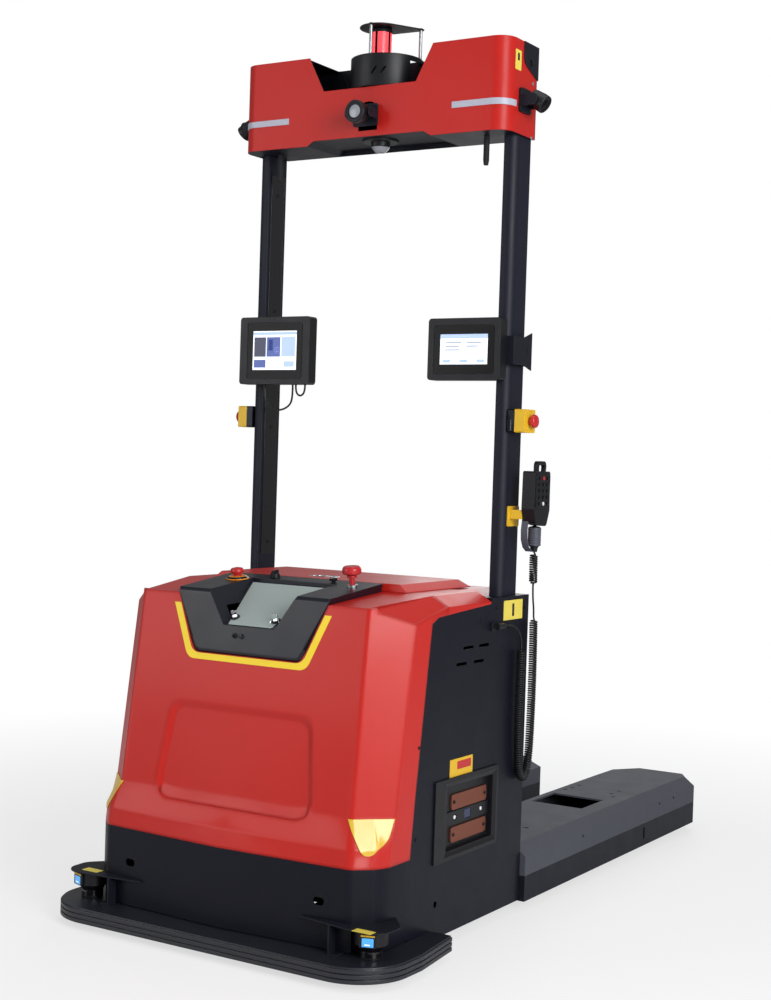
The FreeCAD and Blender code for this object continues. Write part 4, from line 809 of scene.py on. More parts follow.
    @staticmethod
    def solids_of(node: bpy.types.Object, label: str) -> list[bpy.types.Object]:
        """Copy a CAD node, merge its loose triangles into flat faces and split it into its solids.

        Args:
            node: The CAD node, which is left as it is.
            label: The start of the copies' names.

        Returns:
            The solids, from the one with most faces down.
        """
        double = Bench.copy(node, label, Matrix.Identity(4))
        double.parent = None
        for key in [k for k in double.keys() if k.startswith("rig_")]:
            del double[key]
        double.hide_render = False
        double.hide_viewport = False
        with Bench.edit(double):
            bpy.ops.mesh.select_all(action="SELECT")
            bpy.ops.mesh.remove_doubles(threshold=0.00002)
            bpy.ops.mesh.dissolve_limited(angle_limit=math.radians(0.6), use_dissolve_boundaries=False)
            bpy.ops.mesh.select_all(action="SELECT")
            bpy.ops.mesh.separate(type="LOOSE")
        found = [o for o in bpy.context.selected_objects if o.type == "MESH"]
        found.sort(key=lambda o: (-len(o.data.polygons), round(o.data.vertices[0].co.x, 4)))
        for index, solid in enumerate(found):
            solid.name = f"{label}_{index + 1}"
            solid.data.name = solid.name
        return found


UP: Point = (0.0, 0.0, 1.0)
SCREW_HEAD = ((0.0, 0.0), (1.0, 0.0), (1.0, 0.35), (0.82, 0.5), (0.42, 0.5), (0.38, 0.2), (0.0, 0.2))
"""Radii and heights of a socket-head screw, as shares of its radius."""


@dataclass(frozen=True)
class Panel:
    """A flat working plane on the truck, whose two axes are given in the drawing's millimetres."""

    origin: Point
    across: Point
    up: Point

    def out(self) -> Vector:
        """Return the direction that the panel faces."""
        return Vector(self.across).cross(Vector(self.up)).normalized()

    def at(self, u: float, v: float, lift: float = 0.0) -> Vector:
        """Return a place on the panel, raised off it by a lift."""
        flat = Vector(self.origin) + Vector(self.across).normalized() * u + Vector(self.up).normalized() * v
        flat += self.out() * lift
        return Vector(spot(*flat))

    def plate(
        self, label: str, outline: Sequence[Flat], thick: float, lift: float = 0.0
    ) -> bpy.types.Object:
        """Lay a plate on the panel.

        Args:
            label: The plate's name.
            outline: Its corners on the panel.
            thick: Its thickness.
            lift: How far its back is off the panel.

        Returns:
            The plate.
        """
        corners = [tuple(self.at(u, v, lift)) for u, v in outline]
        return Bench.prism(label, corners, tuple(self.out() * (thick / 1000)))


RIGHT_SIDE = Panel((465, 0, 0), (0, 1, 0), UP)
NOSE_SLOPE = 0.1271
"""How far the nose's front leans back for each unit of height."""
NOSE_TOP: Point = (0, -496.4, 923)
"""The top of the nose's front plane, in the drawing's millimetres."""
NOSE = Panel(NOSE_TOP, (1, 0, 0), (0, NOSE_SLOPE, 1))


class Assembly:
    """A sub-assembly: a set of pieces that are built, dressed and reported together."""

    def __init__(self, dresser: Dresser) -> None:
        """Keep the dresser that finishes the pieces."""
        self.dresser = dresser

    def add(
        self, piece: bpy.types.Object, finish: Finishes, body: str = "root", slot: str = ""
    ) -> bpy.types.Object:
        """Dress a piece, let it ride on its body and report it.

        Args:
            piece: The piece.
            finish: Its finish.
            body: The body that it rides on.
            slot: Not used.

        Returns:
            The piece.
        """
        self.dresser.dress(piece, finish)
        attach(piece, body)
        LOG.info("%s rides on %s", piece.name, body)
        return piece

    def turned(
        self,
        label: str,
        profile: Sequence[Flat],
        centre: Point,
        finish: Finishes,
        body: str = "root",
        aim: Sequence[float] = UP,
        steps: int = 40,
        soft: bool = True,
    ) -> bpy.types.Object:
        """Turn a profile about an axis and add the piece.

        Args:
            label: The piece's name.
            profile: Radius and height pairs in millimetres, from the axis out and back.
            centre: The drawing's point at height zero on the axis.
            finish: The piece's finish.
            body: The body that it rides on.
            aim: The axis.
            steps: Faces round the axis.
            soft: Whether it is shaded smooth.

        Returns:
            The new piece.
        """
        metres = [(radius / 1000, height / 1000) for radius, height in profile]
        piece = Bench.lathe(label, metres, spot(*centre), tuple(aim), steps)
        if soft:
            Bench.smooth(piece)
        return self.add(piece, finish, body)

    def stud(
        self,
        label: str,
        panel: Panel,
        place: Flat,
        profile: Sequence[Flat],
        finish: Finishes,
        body: str = "root",
        steps: int = 32,
        soft: bool = True,
    ) -> bpy.types.Object:
        """Turn a profile about a panel's normal at one place of the panel, and add the piece.

        Args:
            label: The piece's name.
            panel: The panel that it stands on.
            place: Its place on the panel.
            profile: Radius and height pairs in millimetres.
            finish: The piece's finish.
            body: The body that it rides on.
            steps: Faces round the axis.
            soft: Whether it is shaded smooth.

        Returns:
            The new piece.
        """
        centre = panel.at(*place) * 1000
        drawn = (centre.x, centre.y + BACK * 1000, centre.z)
        return self.turned(label, profile, drawn, finish, body, panel.out(), steps, soft)

    def screw(
        self,
        label: str,
        panel: Panel,
        place: Flat,
        radius: float,
        body: str = "root",
        soft: bool = False,
    ) -> bpy.types.Object:
        """Set a black socket-head screw in a panel.

        Args:
            label: The screw's name.
            panel: The panel that it is set in.
            place: Its place on the panel.
            radius: The head's radius in millimetres.
            body: The body that it rides on.
            soft: Whether it is shaded smooth.

        Returns:
            The new piece.
        """
        profile = [(r * radius, h * radius) for r, h in SCREW_HEAD]
        return self.stud(label, panel, place, profile, Finishes.SCREW, body, 20, soft)

    def build(self) -> None:
        """Build every piece of the sub-assembly."""
        raise NotImplementedError


@dataclass(frozen=True)
class Mould:
    """How one CAD node is taken over: its rounding, its finish, and the finish of its lesser solids."""

    node: str
    radius: float
    finish: Finishes
    body: str = "root"
    segments: int = 3
    angle: float = 24.0
    others: tuple[Finishes, ...] = ()
    choose: Callable[[Vector], Finishes] | None = None


def lens_or_strip(centre: Vector) -> Finishes:
    """Return the finish of a light: the nose's lenses are yellow, the gantry's strips are pale."""
    nose_is_below = 1.0
    return Finishes.LENS if centre.z < nose_is_below else Finishes.STRIP


def box_or_collar(centre: Vector) -> Finishes:
    """Return the finish of a stop button's holder: yellow on the masts, amber on the console."""
    masts_are_beyond = 0.4
    return Finishes.AMBER if abs(centre.x) < masts_are_beyond else Finishes.YELLOW


@dataclass(frozen=True)
class MouldSizes:
    """Places of the moulded details: the notch's tool in millimetres, the others in metres."""

    notch_half: float = 227.0
    notch_floor_half: float = 170.0
    notch_low: float = 2397.0
    notch_high: float = 2506.0
    notch_front: float = 3.4
    notch_rear: float = 174.0
    gantry_corner: float = 60 / 1000 - BACK
    gantry_end: float = 0.4
    gantry_top: float = 2.4985
    case_end: float = 0.4712
    rim: float = 0.011
    rim_top: float = 0.926
    eye_half: float = 0.06
    eye_low: float = 0.8


class Mouldings(Assembly):
    """The panels and mouldings whose edges are rounded as pressed and moulded parts are."""

    moulds = (
        Mould("rear_hood", 0.003, Finishes.RED),
        Mould("battery_hatch", 0.004, Finishes.RED, "battery_hatch", others=(Finishes.CHROME,)),
        Mould("console_moulding", 0.006, Finishes.CONSOLE, segments=4, others=(Finishes.TRAY,)),
        Mould("gantry_shroud", 0.0025, Finishes.RED_GANTRY),
        Mould("front_apron", 0.0015, Finishes.DARK),
        Mould("side_panel_left", 0.001, Finishes.DARK),
        Mould("side_panel_right", 0.001, Finishes.DARK),
        Mould("masts", 0.0006, Finishes.MAST, others=(Finishes.MAST, Finishes.GLOSS, Finishes.GLOSS)),
        Mould("light_lenses", 0.0002, Finishes.STRIP, choose=lens_or_strip),
        Mould("estop_boxes", 0.0012, Finishes.YELLOW, choose=box_or_collar),
        Mould("lift_deck_left", 0.003, Finishes.DECK, "lift_deck_left"),
        Mould("lift_deck_right", 0.003, Finishes.DECK, "lift_deck_right"),
        Mould("leg_frames", 0.002, Finishes.STEEL_DARK),
    )

    def __init__(self, dresser: Dresser, frame: dict[str, Any], sizes: MouldSizes = MouldSizes()) -> None:
        """Keep the frame whose nodes are taken over, and the sizes."""
        super().__init__(dresser)
        self.frame = frame
        self.sizes = sizes

    def take_over(self, mould: Mould) -> None:
        """Round one node's solids and let them stand for it.

        Args:
            mould: The node and how it is finished.
        """
        solids = Bench.solids_of(self.frame["nodes"][mould.node], mould.node + "_skin")
        finishes = (mould.finish,) + mould.others
        for index, solid in enumerate(solids):
            if mould.node == "console_moulding" and index == 0:
                self.round_rim(solid)
            Bench.soften(solid, mould.radius, mould.segments, mould.angle)
            finish = finishes[min(index, len(finishes) - 1)]
            if mould.choose:
                low, high = Vector(solid.bound_box[0]), Vector(solid.bound_box[6])
                finish = mould.choose((low + high) / 2)
            self.add(solid, finish, mould.body)
            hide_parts(mould.node)
            if mould.node == "gantry_shroud":
                self.open_notch(solid)
                self.second_tone(solid, Finishes.DARK, self.is_inside)
            if mould.node == "estop_boxes":
                self.second_tone(solid, Finishes.SCREW, self.is_case)

    def is_rim(self, edge: bmesh.types.BMEdge) -> bool:
        """Say whether an edge joins the console's front to a wall that faces out or down.

        Args:
            edge: An edge of the console's skin.

        Returns:
            Whether it is part of the rim.
        """
        sizes = self.sizes
        if len(edge.link_faces) != 2 or max(v.co.z for v in edge.verts) > sizes.rim_top:
            return False
        front, wall = sorted(edge.link_faces, key=lambda face: face.normal.y)
        outward = wall.normal.x * wall.calc_center_median().x > 0.0 or wall.normal.z < -0.3
        in_eye = all(abs(v.co.x) < sizes.eye_half and v.co.z > sizes.eye_low for v in edge.verts)
        return front.normal.y < -0.9 and abs(wall.normal.y) < 0.6 and outward and not in_eye

    def round_rim(self, console: bpy.types.Object) -> None:
        """Round the console's front rim, from the side walls down round the foot.

        Args:
            console: The console's skin.
        """
        with Bench.edit(console, Pick.EDGE):
            found = Bench.pick_edges(console, self.is_rim)
            LOG.info("console_moulding: %d rim edges rounded", found)
            bpy.ops.mesh.bevel(offset=self.sizes.rim, segments=5, affect="EDGES", clamp_overlap=False)

    def open_notch(self, casing: bpy.types.Object) -> None:
        """Cut the notch's side walls away behind the front sheet, so that the notch opens sideways.

        Args:
            casing: The gantry's skin.
        """
        sizes = self.sizes
        outline = (
            (-sizes.notch_floor_half, sizes.notch_low), (-sizes.notch_half, sizes.notch_high),
            (sizes.notch_half, sizes.notch_high), (sizes.notch_floor_half, sizes.notch_low),
        )
        corners = [spot(x, sizes.notch_front, z) for x, z in outline]
        depth = (sizes.notch_rear - sizes.notch_front) / 1000
        Bench.cut(casing, Bench.prism("notch_tool", corners, (0.0, depth, 0.0)))

    def second_tone(
        self, piece: bpy.types.Object, finish: Finishes, test: Callable[[bpy.types.MeshPolygon], bool]
    ) -> None:
        """Lay a second finish on the faces that pass a test.

        Args:
            piece: The piece.
            finish: The second finish.
            test: Says whether a face has it.
        """
        piece.data.materials.append(self.dresser.get(finish))
        for face in piece.data.polygons:
            if test(face):
                face.material_index = 1

    def is_inside(self, face: bpy.types.MeshPolygon) -> bool:
        """Say whether a face of the gantry's casing isn't on its red outside.

        Args:
            face: A face of the casing.

        Returns:
            Whether it is black.
        """
        x, y, z = face.center
        front = face.normal.y < -0.3 and y < self.sizes.gantry_corner
        end = face.normal.x * math.copysign(1.0, x) > 0.3 and abs(x) > self.sizes.gantry_end
        top = face.normal.z > 0.5 and z > self.sizes.gantry_top
        return not (front or end or top)

    def is_case(self, face: bpy.types.MeshPolygon) -> bool:
        """Say whether a face belongs to a stop box's black case, which is next to the mast."""
        return abs(face.center.x) < self.sizes.case_end

    def build(self) -> None:
        """Take over every listed node."""
        for mould in self.moulds:
            self.take_over(mould)


@dataclass(frozen=True)
class NoseSizes:
    """Sizes of the nose cover's stamped recess and folds, in millimetres and degrees."""

    low: float = 367.0
    high: float = 632.0
    half: float = 264.0
    depth: float = 7.0
    margin: float = 2.0
    flatness: float = 1.2
    draft: float = 12.0
    soft: float = 5.2
    seam: float = 3.0
    seam_angle: float = 32.0
    crease: float = 16.0
    crease_bend: float = 14.0
    fold_length: float = 30.0
    fold_bends: tuple[float, float] = (9.0, 72.0)
    core: Point = (0.0, -0.75, 0.62)


class NoseCover(Assembly):
    """The red nose cover, its recess drawn in with soft sloping walls."""

    def __init__(self, dresser: Dresser, frame: dict[str, Any], sizes: NoseSizes = NoseSizes()) -> None:
        """Keep the frame and the sizes."""
        super().__init__(dresser)
        self.frame = frame
        self.sizes = sizes

    @staticmethod
    def front_at(height: float, depth: float = 0.0) -> Point:
        """Return the point on the middle of the front plane at a height, or a depth behind it."""
        return spot(0, NOSE_TOP[1] - NOSE_SLOPE * (NOSE_TOP[2] - height) + depth, height)

    def depth_of(self, corner: Vector) -> float:
        """Return how far behind the front plane a corner lies, in millimetres."""
        return (corner.y - self.front_at(corner.z * 1000)[1]) * 1000

    def in_recess(self, corner: Vector) -> bool:
        """Say whether a corner is within the recess as seen from the front."""
        sizes = self.sizes
        across = abs(corner.x) * 1000 < sizes.half + sizes.margin
        return across and sizes.low - sizes.margin < corner.z * 1000 < sizes.high + sizes.margin

    def is_floor(self, face: bmesh.types.BMFace) -> bool:
        """Say whether a face is the recess's outer floor."""
        sizes = self.sizes
        deep = all(abs(self.depth_of(v.co) - sizes.depth) < sizes.flatness for v in face.verts)
        return face.normal.y < -0.9 and deep and all(self.in_recess(v.co) for v in face.verts)

    def is_fold(self, edge: bmesh.types.BMEdge) -> bool:
        """Say whether an edge is one of the cover's long outer folds.

        Args:
            edge: An edge of the cover.

        Returns:
            Whether it is a fold.
        """
        sizes = self.sizes
        if len(edge.link_faces) != 2 or edge.calc_length() * 1000 < sizes.fold_length:
            return False
        core = Vector(sizes.core)
        outside = all((face.calc_center_median() - core).dot(face.normal) > 0 for face in edge.link_faces)
        bend = math.degrees(edge.link_faces[0].normal.angle(edge.link_faces[1].normal))
        in_recess = all(self.in_recess(v.co) for v in edge.verts) and edge.link_faces[0].normal.y < -0.5
        return outside and sizes.fold_bends[0] < bend < sizes.fold_bends[1] and not in_recess

    def is_crease(self, edge: bmesh.types.BMEdge) -> bool:
        """Say whether an edge is the recess's rim or the foot of its wall.

        Args:
            edge: An edge of the cover.

        Returns:
            Whether it is a crease.
        """
        if len(edge.link_faces) != 2 or not all(self.in_recess(v.co) for v in edge.verts):
            return False
        depths = [self.depth_of(v.co) for v in edge.verts]
        level = max(depths) - min(depths) < 1.0 and -2.0 < min(depths) < self.sizes.depth + 1.5
        first, second = (face.normal for face in edge.link_faces)
        outside = first.y < 0.2 and second.y < 0.2
        return level and outside and math.degrees(first.angle(second)) > self.sizes.crease_bend

    def round_edges(
        self, cover: bpy.types.Object, test: Callable[[bmesh.types.BMEdge], bool], width: float, segments: int
    ) -> None:
        """Round the cover's edges that pass a test.

        Args:
            cover: The cover.
            test: Says whether an edge is rounded.
            width: How far the rounding reaches, in millimetres.
            segments: Faces across the rounding.
        """
        with Bench.edit(cover, Pick.EDGE):
            found = Bench.pick_edges(cover, test)
            LOG.info("nose_cover: %d edges rounded by %.1f mm", found, width)
            bpy.ops.mesh.bevel(
                offset=width / 1000, segments=segments, affect="EDGES", clamp_overlap=test == self.is_fold
            )

    def build(self) -> None:
        """Slope the recess's walls, round its creases and the cover's folds and edges."""
        sizes = self.sizes
        cover = Bench.solids_of(self.frame["nodes"]["front_cover"], "nose_cover")[0]
        centre = self.front_at((sizes.low + sizes.high) / 2, sizes.depth)
        tall = 1 - 2 * sizes.draft / (sizes.high - sizes.low)
        wide = 1 - sizes.draft / sizes.half
        with Bench.edit(cover):
            floor = Bench.pick_faces(cover, self.is_floor)
            LOG.info("nose_cover: %d faces in the recess's floor", floor)
            bpy.ops.transform.resize(value=(wide, tall, tall), center_override=centre)
        self.round_edges(cover, self.is_crease, sizes.soft, 4)
        self.round_edges(cover, self.is_fold, sizes.crease, 5)
        Bench.soften(cover, sizes.seam / 1000, 3, sizes.seam_angle)
        self.add(cover, Finishes.RED_NOSE)
        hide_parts("front_cover")


# ---------------------------------------------------------------- flat work


def rounded(corners: Sequence[Flat], radius: float, steps: int = 6) -> list[Flat]:
    """Round every corner of a flat outline.

    Args:
        corners: The sharp corners in order.
        radius: The radius of the arcs, limited by half of the shorter side.
        steps: Runs along each arc.

    Returns:
        The rounded outline.
    """
    outline: list[Flat] = []
    count = len(corners)
    for index, corner in enumerate(corners):
        here = Vector(corner)
        back = Vector(corners[index - 1]) - here
        ahead = Vector(corners[(index + 1) % count]) - here
        half = back.angle(ahead) / 2
        reach = min(radius / math.tan(half), back.length * 0.49, ahead.length * 0.49)
        start = here + back.normalized() * reach
        end = here + ahead.normalized() * reach
        centre = here + (back.normalized() + ahead.normalized()).normalized() * (reach / math.cos(half))
        arm = start - centre
        turn = arm.angle_signed(end - centre)
        for step in range(steps + 1):
            angle = -turn * step / steps
            across = arm.x * math.cos(angle) - arm.y * math.sin(angle)
            along = arm.x * math.sin(angle) + arm.y * math.cos(angle)
            outline.append((centre.x + across, centre.y + along))
    return outline


def oblong(low_u: float, low_v: float, high_u: float, high_v: float) -> list[Flat]:
    """Return the corners of an upright rectangle."""
    return [(low_u, low_v), (high_u, low_v), (high_u, high_v), (low_u, high_v)]


# ---------------------------------------------------------------- console


@dataclass(frozen=True)
class ConsoleSizes:
    """The yellow stripe round the console and the places of its controls, in millimetres."""

    wide: float = 20.0
    gap: float = 5.0
    top: float = 896.0
    foot: float = 765.0
    lean: float = 57.0 / 131.0
    half_at_top: float = 233.5
    foot_share: float = 0.85
    corner: float = 34.0
    key_across: float = 68.0
    key_along: float = -478.0
    ring_at: Point = (74, -494, 862)
    start_at: Flat = (114, -276)
    stop_at: Flat = (-172, -335)
    disconnect_at: Flat = (206, -322)
    sensors_at: Point = (0, -516, 820)


class ConsoleTrim(Assembly):
    """What is on and round the console: stripe, key details, button caps and sensor lenses."""

    top_along, top_rise, top_run = -492.0, 29.0, 247.5
    tray_along, tray_rise, tray_run = -525.0, 114.0, 221.0
    top_panel = Panel((0, top_along, 939), (1, 0, 0), (0, top_run, top_rise))
    tray_panel = Panel((0, tray_along, 840.4), (1, 0, 0), (0, tray_run, tray_rise))

    def __init__(self, dresser: Dresser, sizes: ConsoleSizes = ConsoleSizes()) -> None:
        """Keep the sizes."""
        super().__init__(dresser)
        self.sizes = sizes

    def on_top(self, place: Flat) -> Flat:
        """Turn a control's plan place into a place on the console's sloping top."""
        return (place[0], (place[1] - self.top_along) * math.hypot(1.0, self.top_rise / self.top_run))

    def line(self, offset: float) -> list[Flat]:
        """Return the right half of an outline beside the console, from its foot corner up.

        Args:
            offset: How far it runs beside the console, in millimetres.

        Returns:
            Its foot corner and its upper end.
        """
        sizes = self.sizes
        across = offset * math.hypot(1.0, sizes.lean)
        foot = sizes.foot - (offset - sizes.gap) * sizes.foot_share
        corner = sizes.half_at_top - (sizes.top - foot) * sizes.lean + across
        return [(corner, foot), (sizes.half_at_top + across, sizes.top)]

    def stripe(self) -> None:
        """Lay the stripe on the nose as one bent film with rounded lower corners."""
        sizes = self.sizes
        steps = 7
        outer, inner = self.line(sizes.gap + sizes.wide), self.line(sizes.gap)
        loop = [(-x, z) for x, z in reversed(outer)] + outer
        loop += list(reversed(inner)) + [(-x, z) for x, z in inner]
        flat = [(x, (z - NOSE_TOP[2]) * math.hypot(1.0, NOSE_SLOPE)) for x, z in loop]
        curved = rounded(flat, sizes.corner, steps)
        soft: list[Flat] = []
        for index, corner in enumerate(flat):
            at_foot = index in (1, 2, 5, 6)
            soft += curved[index * (steps + 1) : (index + 1) * (steps + 1)] if at_foot else [corner]
        film = NOSE.plate("console_stripe", soft, 0.6, 0.2)
        self.add(film, Finishes.STRIPE, slot="safety_yellow")

    def keys(self) -> None:
        """Give both keys their black rims and the right one its ring."""
        sizes = self.sizes
        along = (sizes.key_along - self.tray_along) * math.hypot(1.0, self.tray_rise / self.tray_run)
        profile = ((0, 1), (13, 1), (13, 4), (11, 5.5), (9.3, 5.5), (9.3, 2), (0, 2))
        for side, body in ((-1, "key_switch_left"), (1, "key_switch_right")):
            place = (sizes.key_across * side, along)
            self.stud(f"{body}_rim", self.tray_panel, place, profile, Finishes.PLASTIC, soft=False)
        Bench.clear()
        bpy.ops.mesh.primitive_torus_add(
            location=spot(*sizes.ring_at), rotation=(math.radians(70), 0.0, math.radians(24)),
            major_radius=0.012, minor_radius=0.0009, major_segments=32, minor_segments=8,
        )
        ring = Bench.name("key_ring")
        Bench.smooth(ring)
        self.add(ring, Finishes.CHROME, "key_switch_right")

    def buttons(self) -> None:
        """Cap the start button and flare the stop button's collar."""
        cap = ((0, 12), (9.2, 12), (9.2, 13.2), (7.8, 14.2), (0, 14.6))
        place = self.on_top(self.sizes.start_at)
        self.stud("start_cap", self.top_panel, place, cap, Finishes.CHROME, "start_button")
        flare = (
            (11.8, 0.4), (32, 0.4), (32.5, 2), (28, 4.6), (24.4, 9.1), (22, 9.4), (11.8, 9.4), (11.8, 0.4),
        )
        place = self.on_top(self.sizes.stop_at)
        self.stud("stop_collar_flare", self.top_panel, place, flare, Finishes.AMBER, steps=40)

    def disconnect(self) -> None:
        """Thicken the disconnect's stem, ridge its cap and ring its foot."""
        body, place = "disconnect_switch", self.on_top(self.sizes.disconnect_at)
        stem = ((8.1, 26), (13.5, 26), (13.5, 33), (17, 36), (8.1, 36), (8.1, 26))
        cap = (
            (18, 36), (22, 36.6), (25.5, 38), (26.5, 41), (25.6, 44), (26.5, 47), (25, 53), (21.5, 57),
            (0, 57.5), (0, 50), (18, 50), (18, 36),
        )
        foot = ((8.8, 0.3), (14.5, 0.3), (14.5, 6), (13, 7), (8.8, 7), (8.8, 0.3))
        self.stud("disconnect_stem", self.top_panel, place, stem, Finishes.STOP, body, 40)
        self.stud("disconnect_cap", self.top_panel, place, cap, Finishes.STOP, body, 48)
        self.stud("disconnect_foot", self.top_panel, place, foot, Finishes.STEEL, steps=40)

    def sensors(self) -> None:
        """Set the two small lenses in the console's front."""
        front = Panel(self.sizes.sensors_at, (1, 0, 0), UP)
        lens = ((0, 0), (5, 0), (5, 0.6), (3, 1.4), (0, 1.8))
        for side, x, finish in (("left", -42, Finishes.GLASS), ("right", -20, Finishes.GLOSS)):
            self.stud(f"sensor_lens_{side}", front, (x, 0), lens, finish, steps=24)

    def build(self) -> None:
        """Build every piece round the console."""
        self.stripe()
        self.keys()
        self.buttons()
        self.disconnect()
        self.sensors()


# ---------------------------------------------------------------- screens


@dataclass(frozen=True)
class Pane:
    """One lit area of a screen, as shares of its width and height."""

    low_u: float
    low_v: float
    high_u: float
    high_v: float
    finish: Finishes


LEFT_PANES = (
    Pane(0.0, 0.0, 1.0, 1.0, Finishes.SCREEN_PALE),
    Pane(0.0, 0.9, 1.0, 0.97, Finishes.SCREEN_BAR),
    Pane(0.03, 0.34, 0.3, 0.84, Finishes.SCREEN_NIGHT),
    Pane(0.32, 0.34, 0.63, 0.84, Finishes.SCREEN_BLUE),
    Pane(0.66, 0.34, 0.97, 0.84, Finishes.SCREEN_BAR),
    Pane(0.36, 0.5, 0.46, 0.78, Finishes.SCREEN_GREY),
    Pane(0.5, 0.42, 0.6, 0.6, Finishes.SCREEN_PALE),
    Pane(0.03, 0.06, 0.3, 0.26, Finishes.SCREEN_BLUE),
    Pane(0.72, 0.08, 0.95, 0.22, Finishes.SCREEN_BAR),
)
RIGHT_PANES = (
    Pane(0.0, 0.0, 1.0, 1.0, Finishes.SCREEN_PALE),
    Pane(0.0, 0.86, 1.0, 1.0, Finishes.SCREEN_BAR),
    Pane(0.12, 0.7, 0.44, 0.74, Finishes.SCREEN_GREY),
    Pane(0.56, 0.7, 0.86, 0.74, Finishes.SCREEN_GREY),
    Pane(0.12, 0.58, 0.4, 0.62, Finishes.SCREEN_GREY),
    Pane(0.56, 0.58, 0.8, 0.62, Finishes.SCREEN_GREY),
    Pane(0.12, 0.46, 0.42, 0.5, Finishes.SCREEN_GREY),
    Pane(0.06, 0.06, 0.22, 0.16, Finishes.SCREEN_BAR),
    Pane(0.42, 0.06, 0.58, 0.16, Finishes.SCREEN_BAR),
    Pane(0.78, 0.06, 0.94, 0.16, Finishes.SCREEN_BAR),
)


class Displays(Assembly):
    """The glass of the two screens and what they show, as bare coloured panes."""

    areas: dict[str, tuple[float, float, float, float]] = {
        "left": (-414, 1571, -251, 1690),
        "right": (252, 1585, 406, 1671),
    }
    bezel_face, screen_face = 32.0, 34.0
    border, border_low, border_high = 20.0, 26.0, 24.0

    def screen(self, side: str, panes: Sequence[Pane]) -> None:
        """Fill one display's opening with glass and its lit panes.

        Args:
            side: The side that the display is on.
            panes: Its lit areas, the background first.
        """
        low_x, low_z, high_x, high_z = self.areas[side]
        face = Panel((low_x, self.screen_face, low_z), (1, 0, 0), UP)
        bezel = Panel((low_x, self.bezel_face, low_z), (1, 0, 0), UP)
        wide, tall = high_x - low_x, high_z - low_z
        edge = oblong(-self.border, -self.border_low, wide + self.border, tall + self.border_high)
        self.add(bezel.plate(f"{side}_display_glass", rounded(edge, 7.0), 0.8), Finishes.GLASS)
        for index, pane in enumerate(panes):
            corners = oblong(pane.low_u * wide, pane.low_v * tall, pane.high_u * wide, pane.high_v * tall)
            lit = face.plate(f"{side}_pane_{index + 1}", corners, 0.15, 2.9 + (0.15 if index else 0.0))
            self.add(lit, pane.finish)

    def build(self) -> None:
        """Build both screens."""
        self.screen("left", LEFT_PANES)
        self.screen("right", RIGHT_PANES)


# ---------------------------------------------------------------- prints and labels


@dataclass(frozen=True)
class Label:
    """One bare coloured plate stuck on a panel."""

    name: str
    panel: Panel
    area: tuple[float, float, float, float]
    finish: Finishes
    radius: float = 2.0
    lift: float = 0.05


class Labels(Assembly):
    """The bare yellow and red plates, their marks, and one dark plate of painted shade."""

    gantry_end = Panel((458, 0, 0), (0, 1, 0), UP)
    shield_top = Panel((0, 0, 137), (1, 0, 0), (0, 1, 0))
    plates = (
        Label("gantry_label", gantry_end, (42, 2412, 78, 2468), Finishes.LEMON, 4.0),
        Label("gantry_label_mark", gantry_end, (55, 2438, 66, 2460), Finishes.GLOSS, 4.0, 0.5),
        # A dark plate over the hole in the gantry's end: painted shade where the hole's inside falls dark.
        Label("gantry_end_hole_painted_shade", gantry_end, (110, 2430, 152, 2484), Finishes.DARK, 2.0),
        Label("charge_label_yellow", RIGHT_SIDE, (-212, 456, -85, 504), Finishes.YELLOW),
        Label("charge_label_red", RIGHT_SIDE, (-172, 474, -95, 496), Finishes.STOP, 2.0, 0.5),
        Label("mast_foot_label", RIGHT_SIDE, (70, 862, 186, 918), Finishes.LEMON),
        Label("mast_foot_mark", RIGHT_SIDE, (122, 872, 134, 908), Finishes.GLOSS, 1.0, 0.5),
        Label("shield_label_right", shield_top, (440, -640, 496, -612), Finishes.LEMON),
        Label("shield_label_left", shield_top, (-475, -612, -420, -582), Finishes.LEMON),
    )

    def build(self) -> None:
        """Stick every plate on its panel."""
        for label in self.plates:
            outline = rounded(oblong(*label.area), label.radius, 4)
            plate = label.panel.plate(label.name, outline, 0.4, label.lift)
            self.add(plate, label.finish)


# ---------------------------------------------------------------- scanners and charging


@dataclass(frozen=True)
class ScannerSizes:
    """The corner scanner's place, display and hood, in millimetres."""

    across: float = 462.0
    along: float = -579.0
    radius: float = 43.0
    sunk: float = 3.0
    hood: float = 7.0
    aim: Flat = (0.35, -0.94)


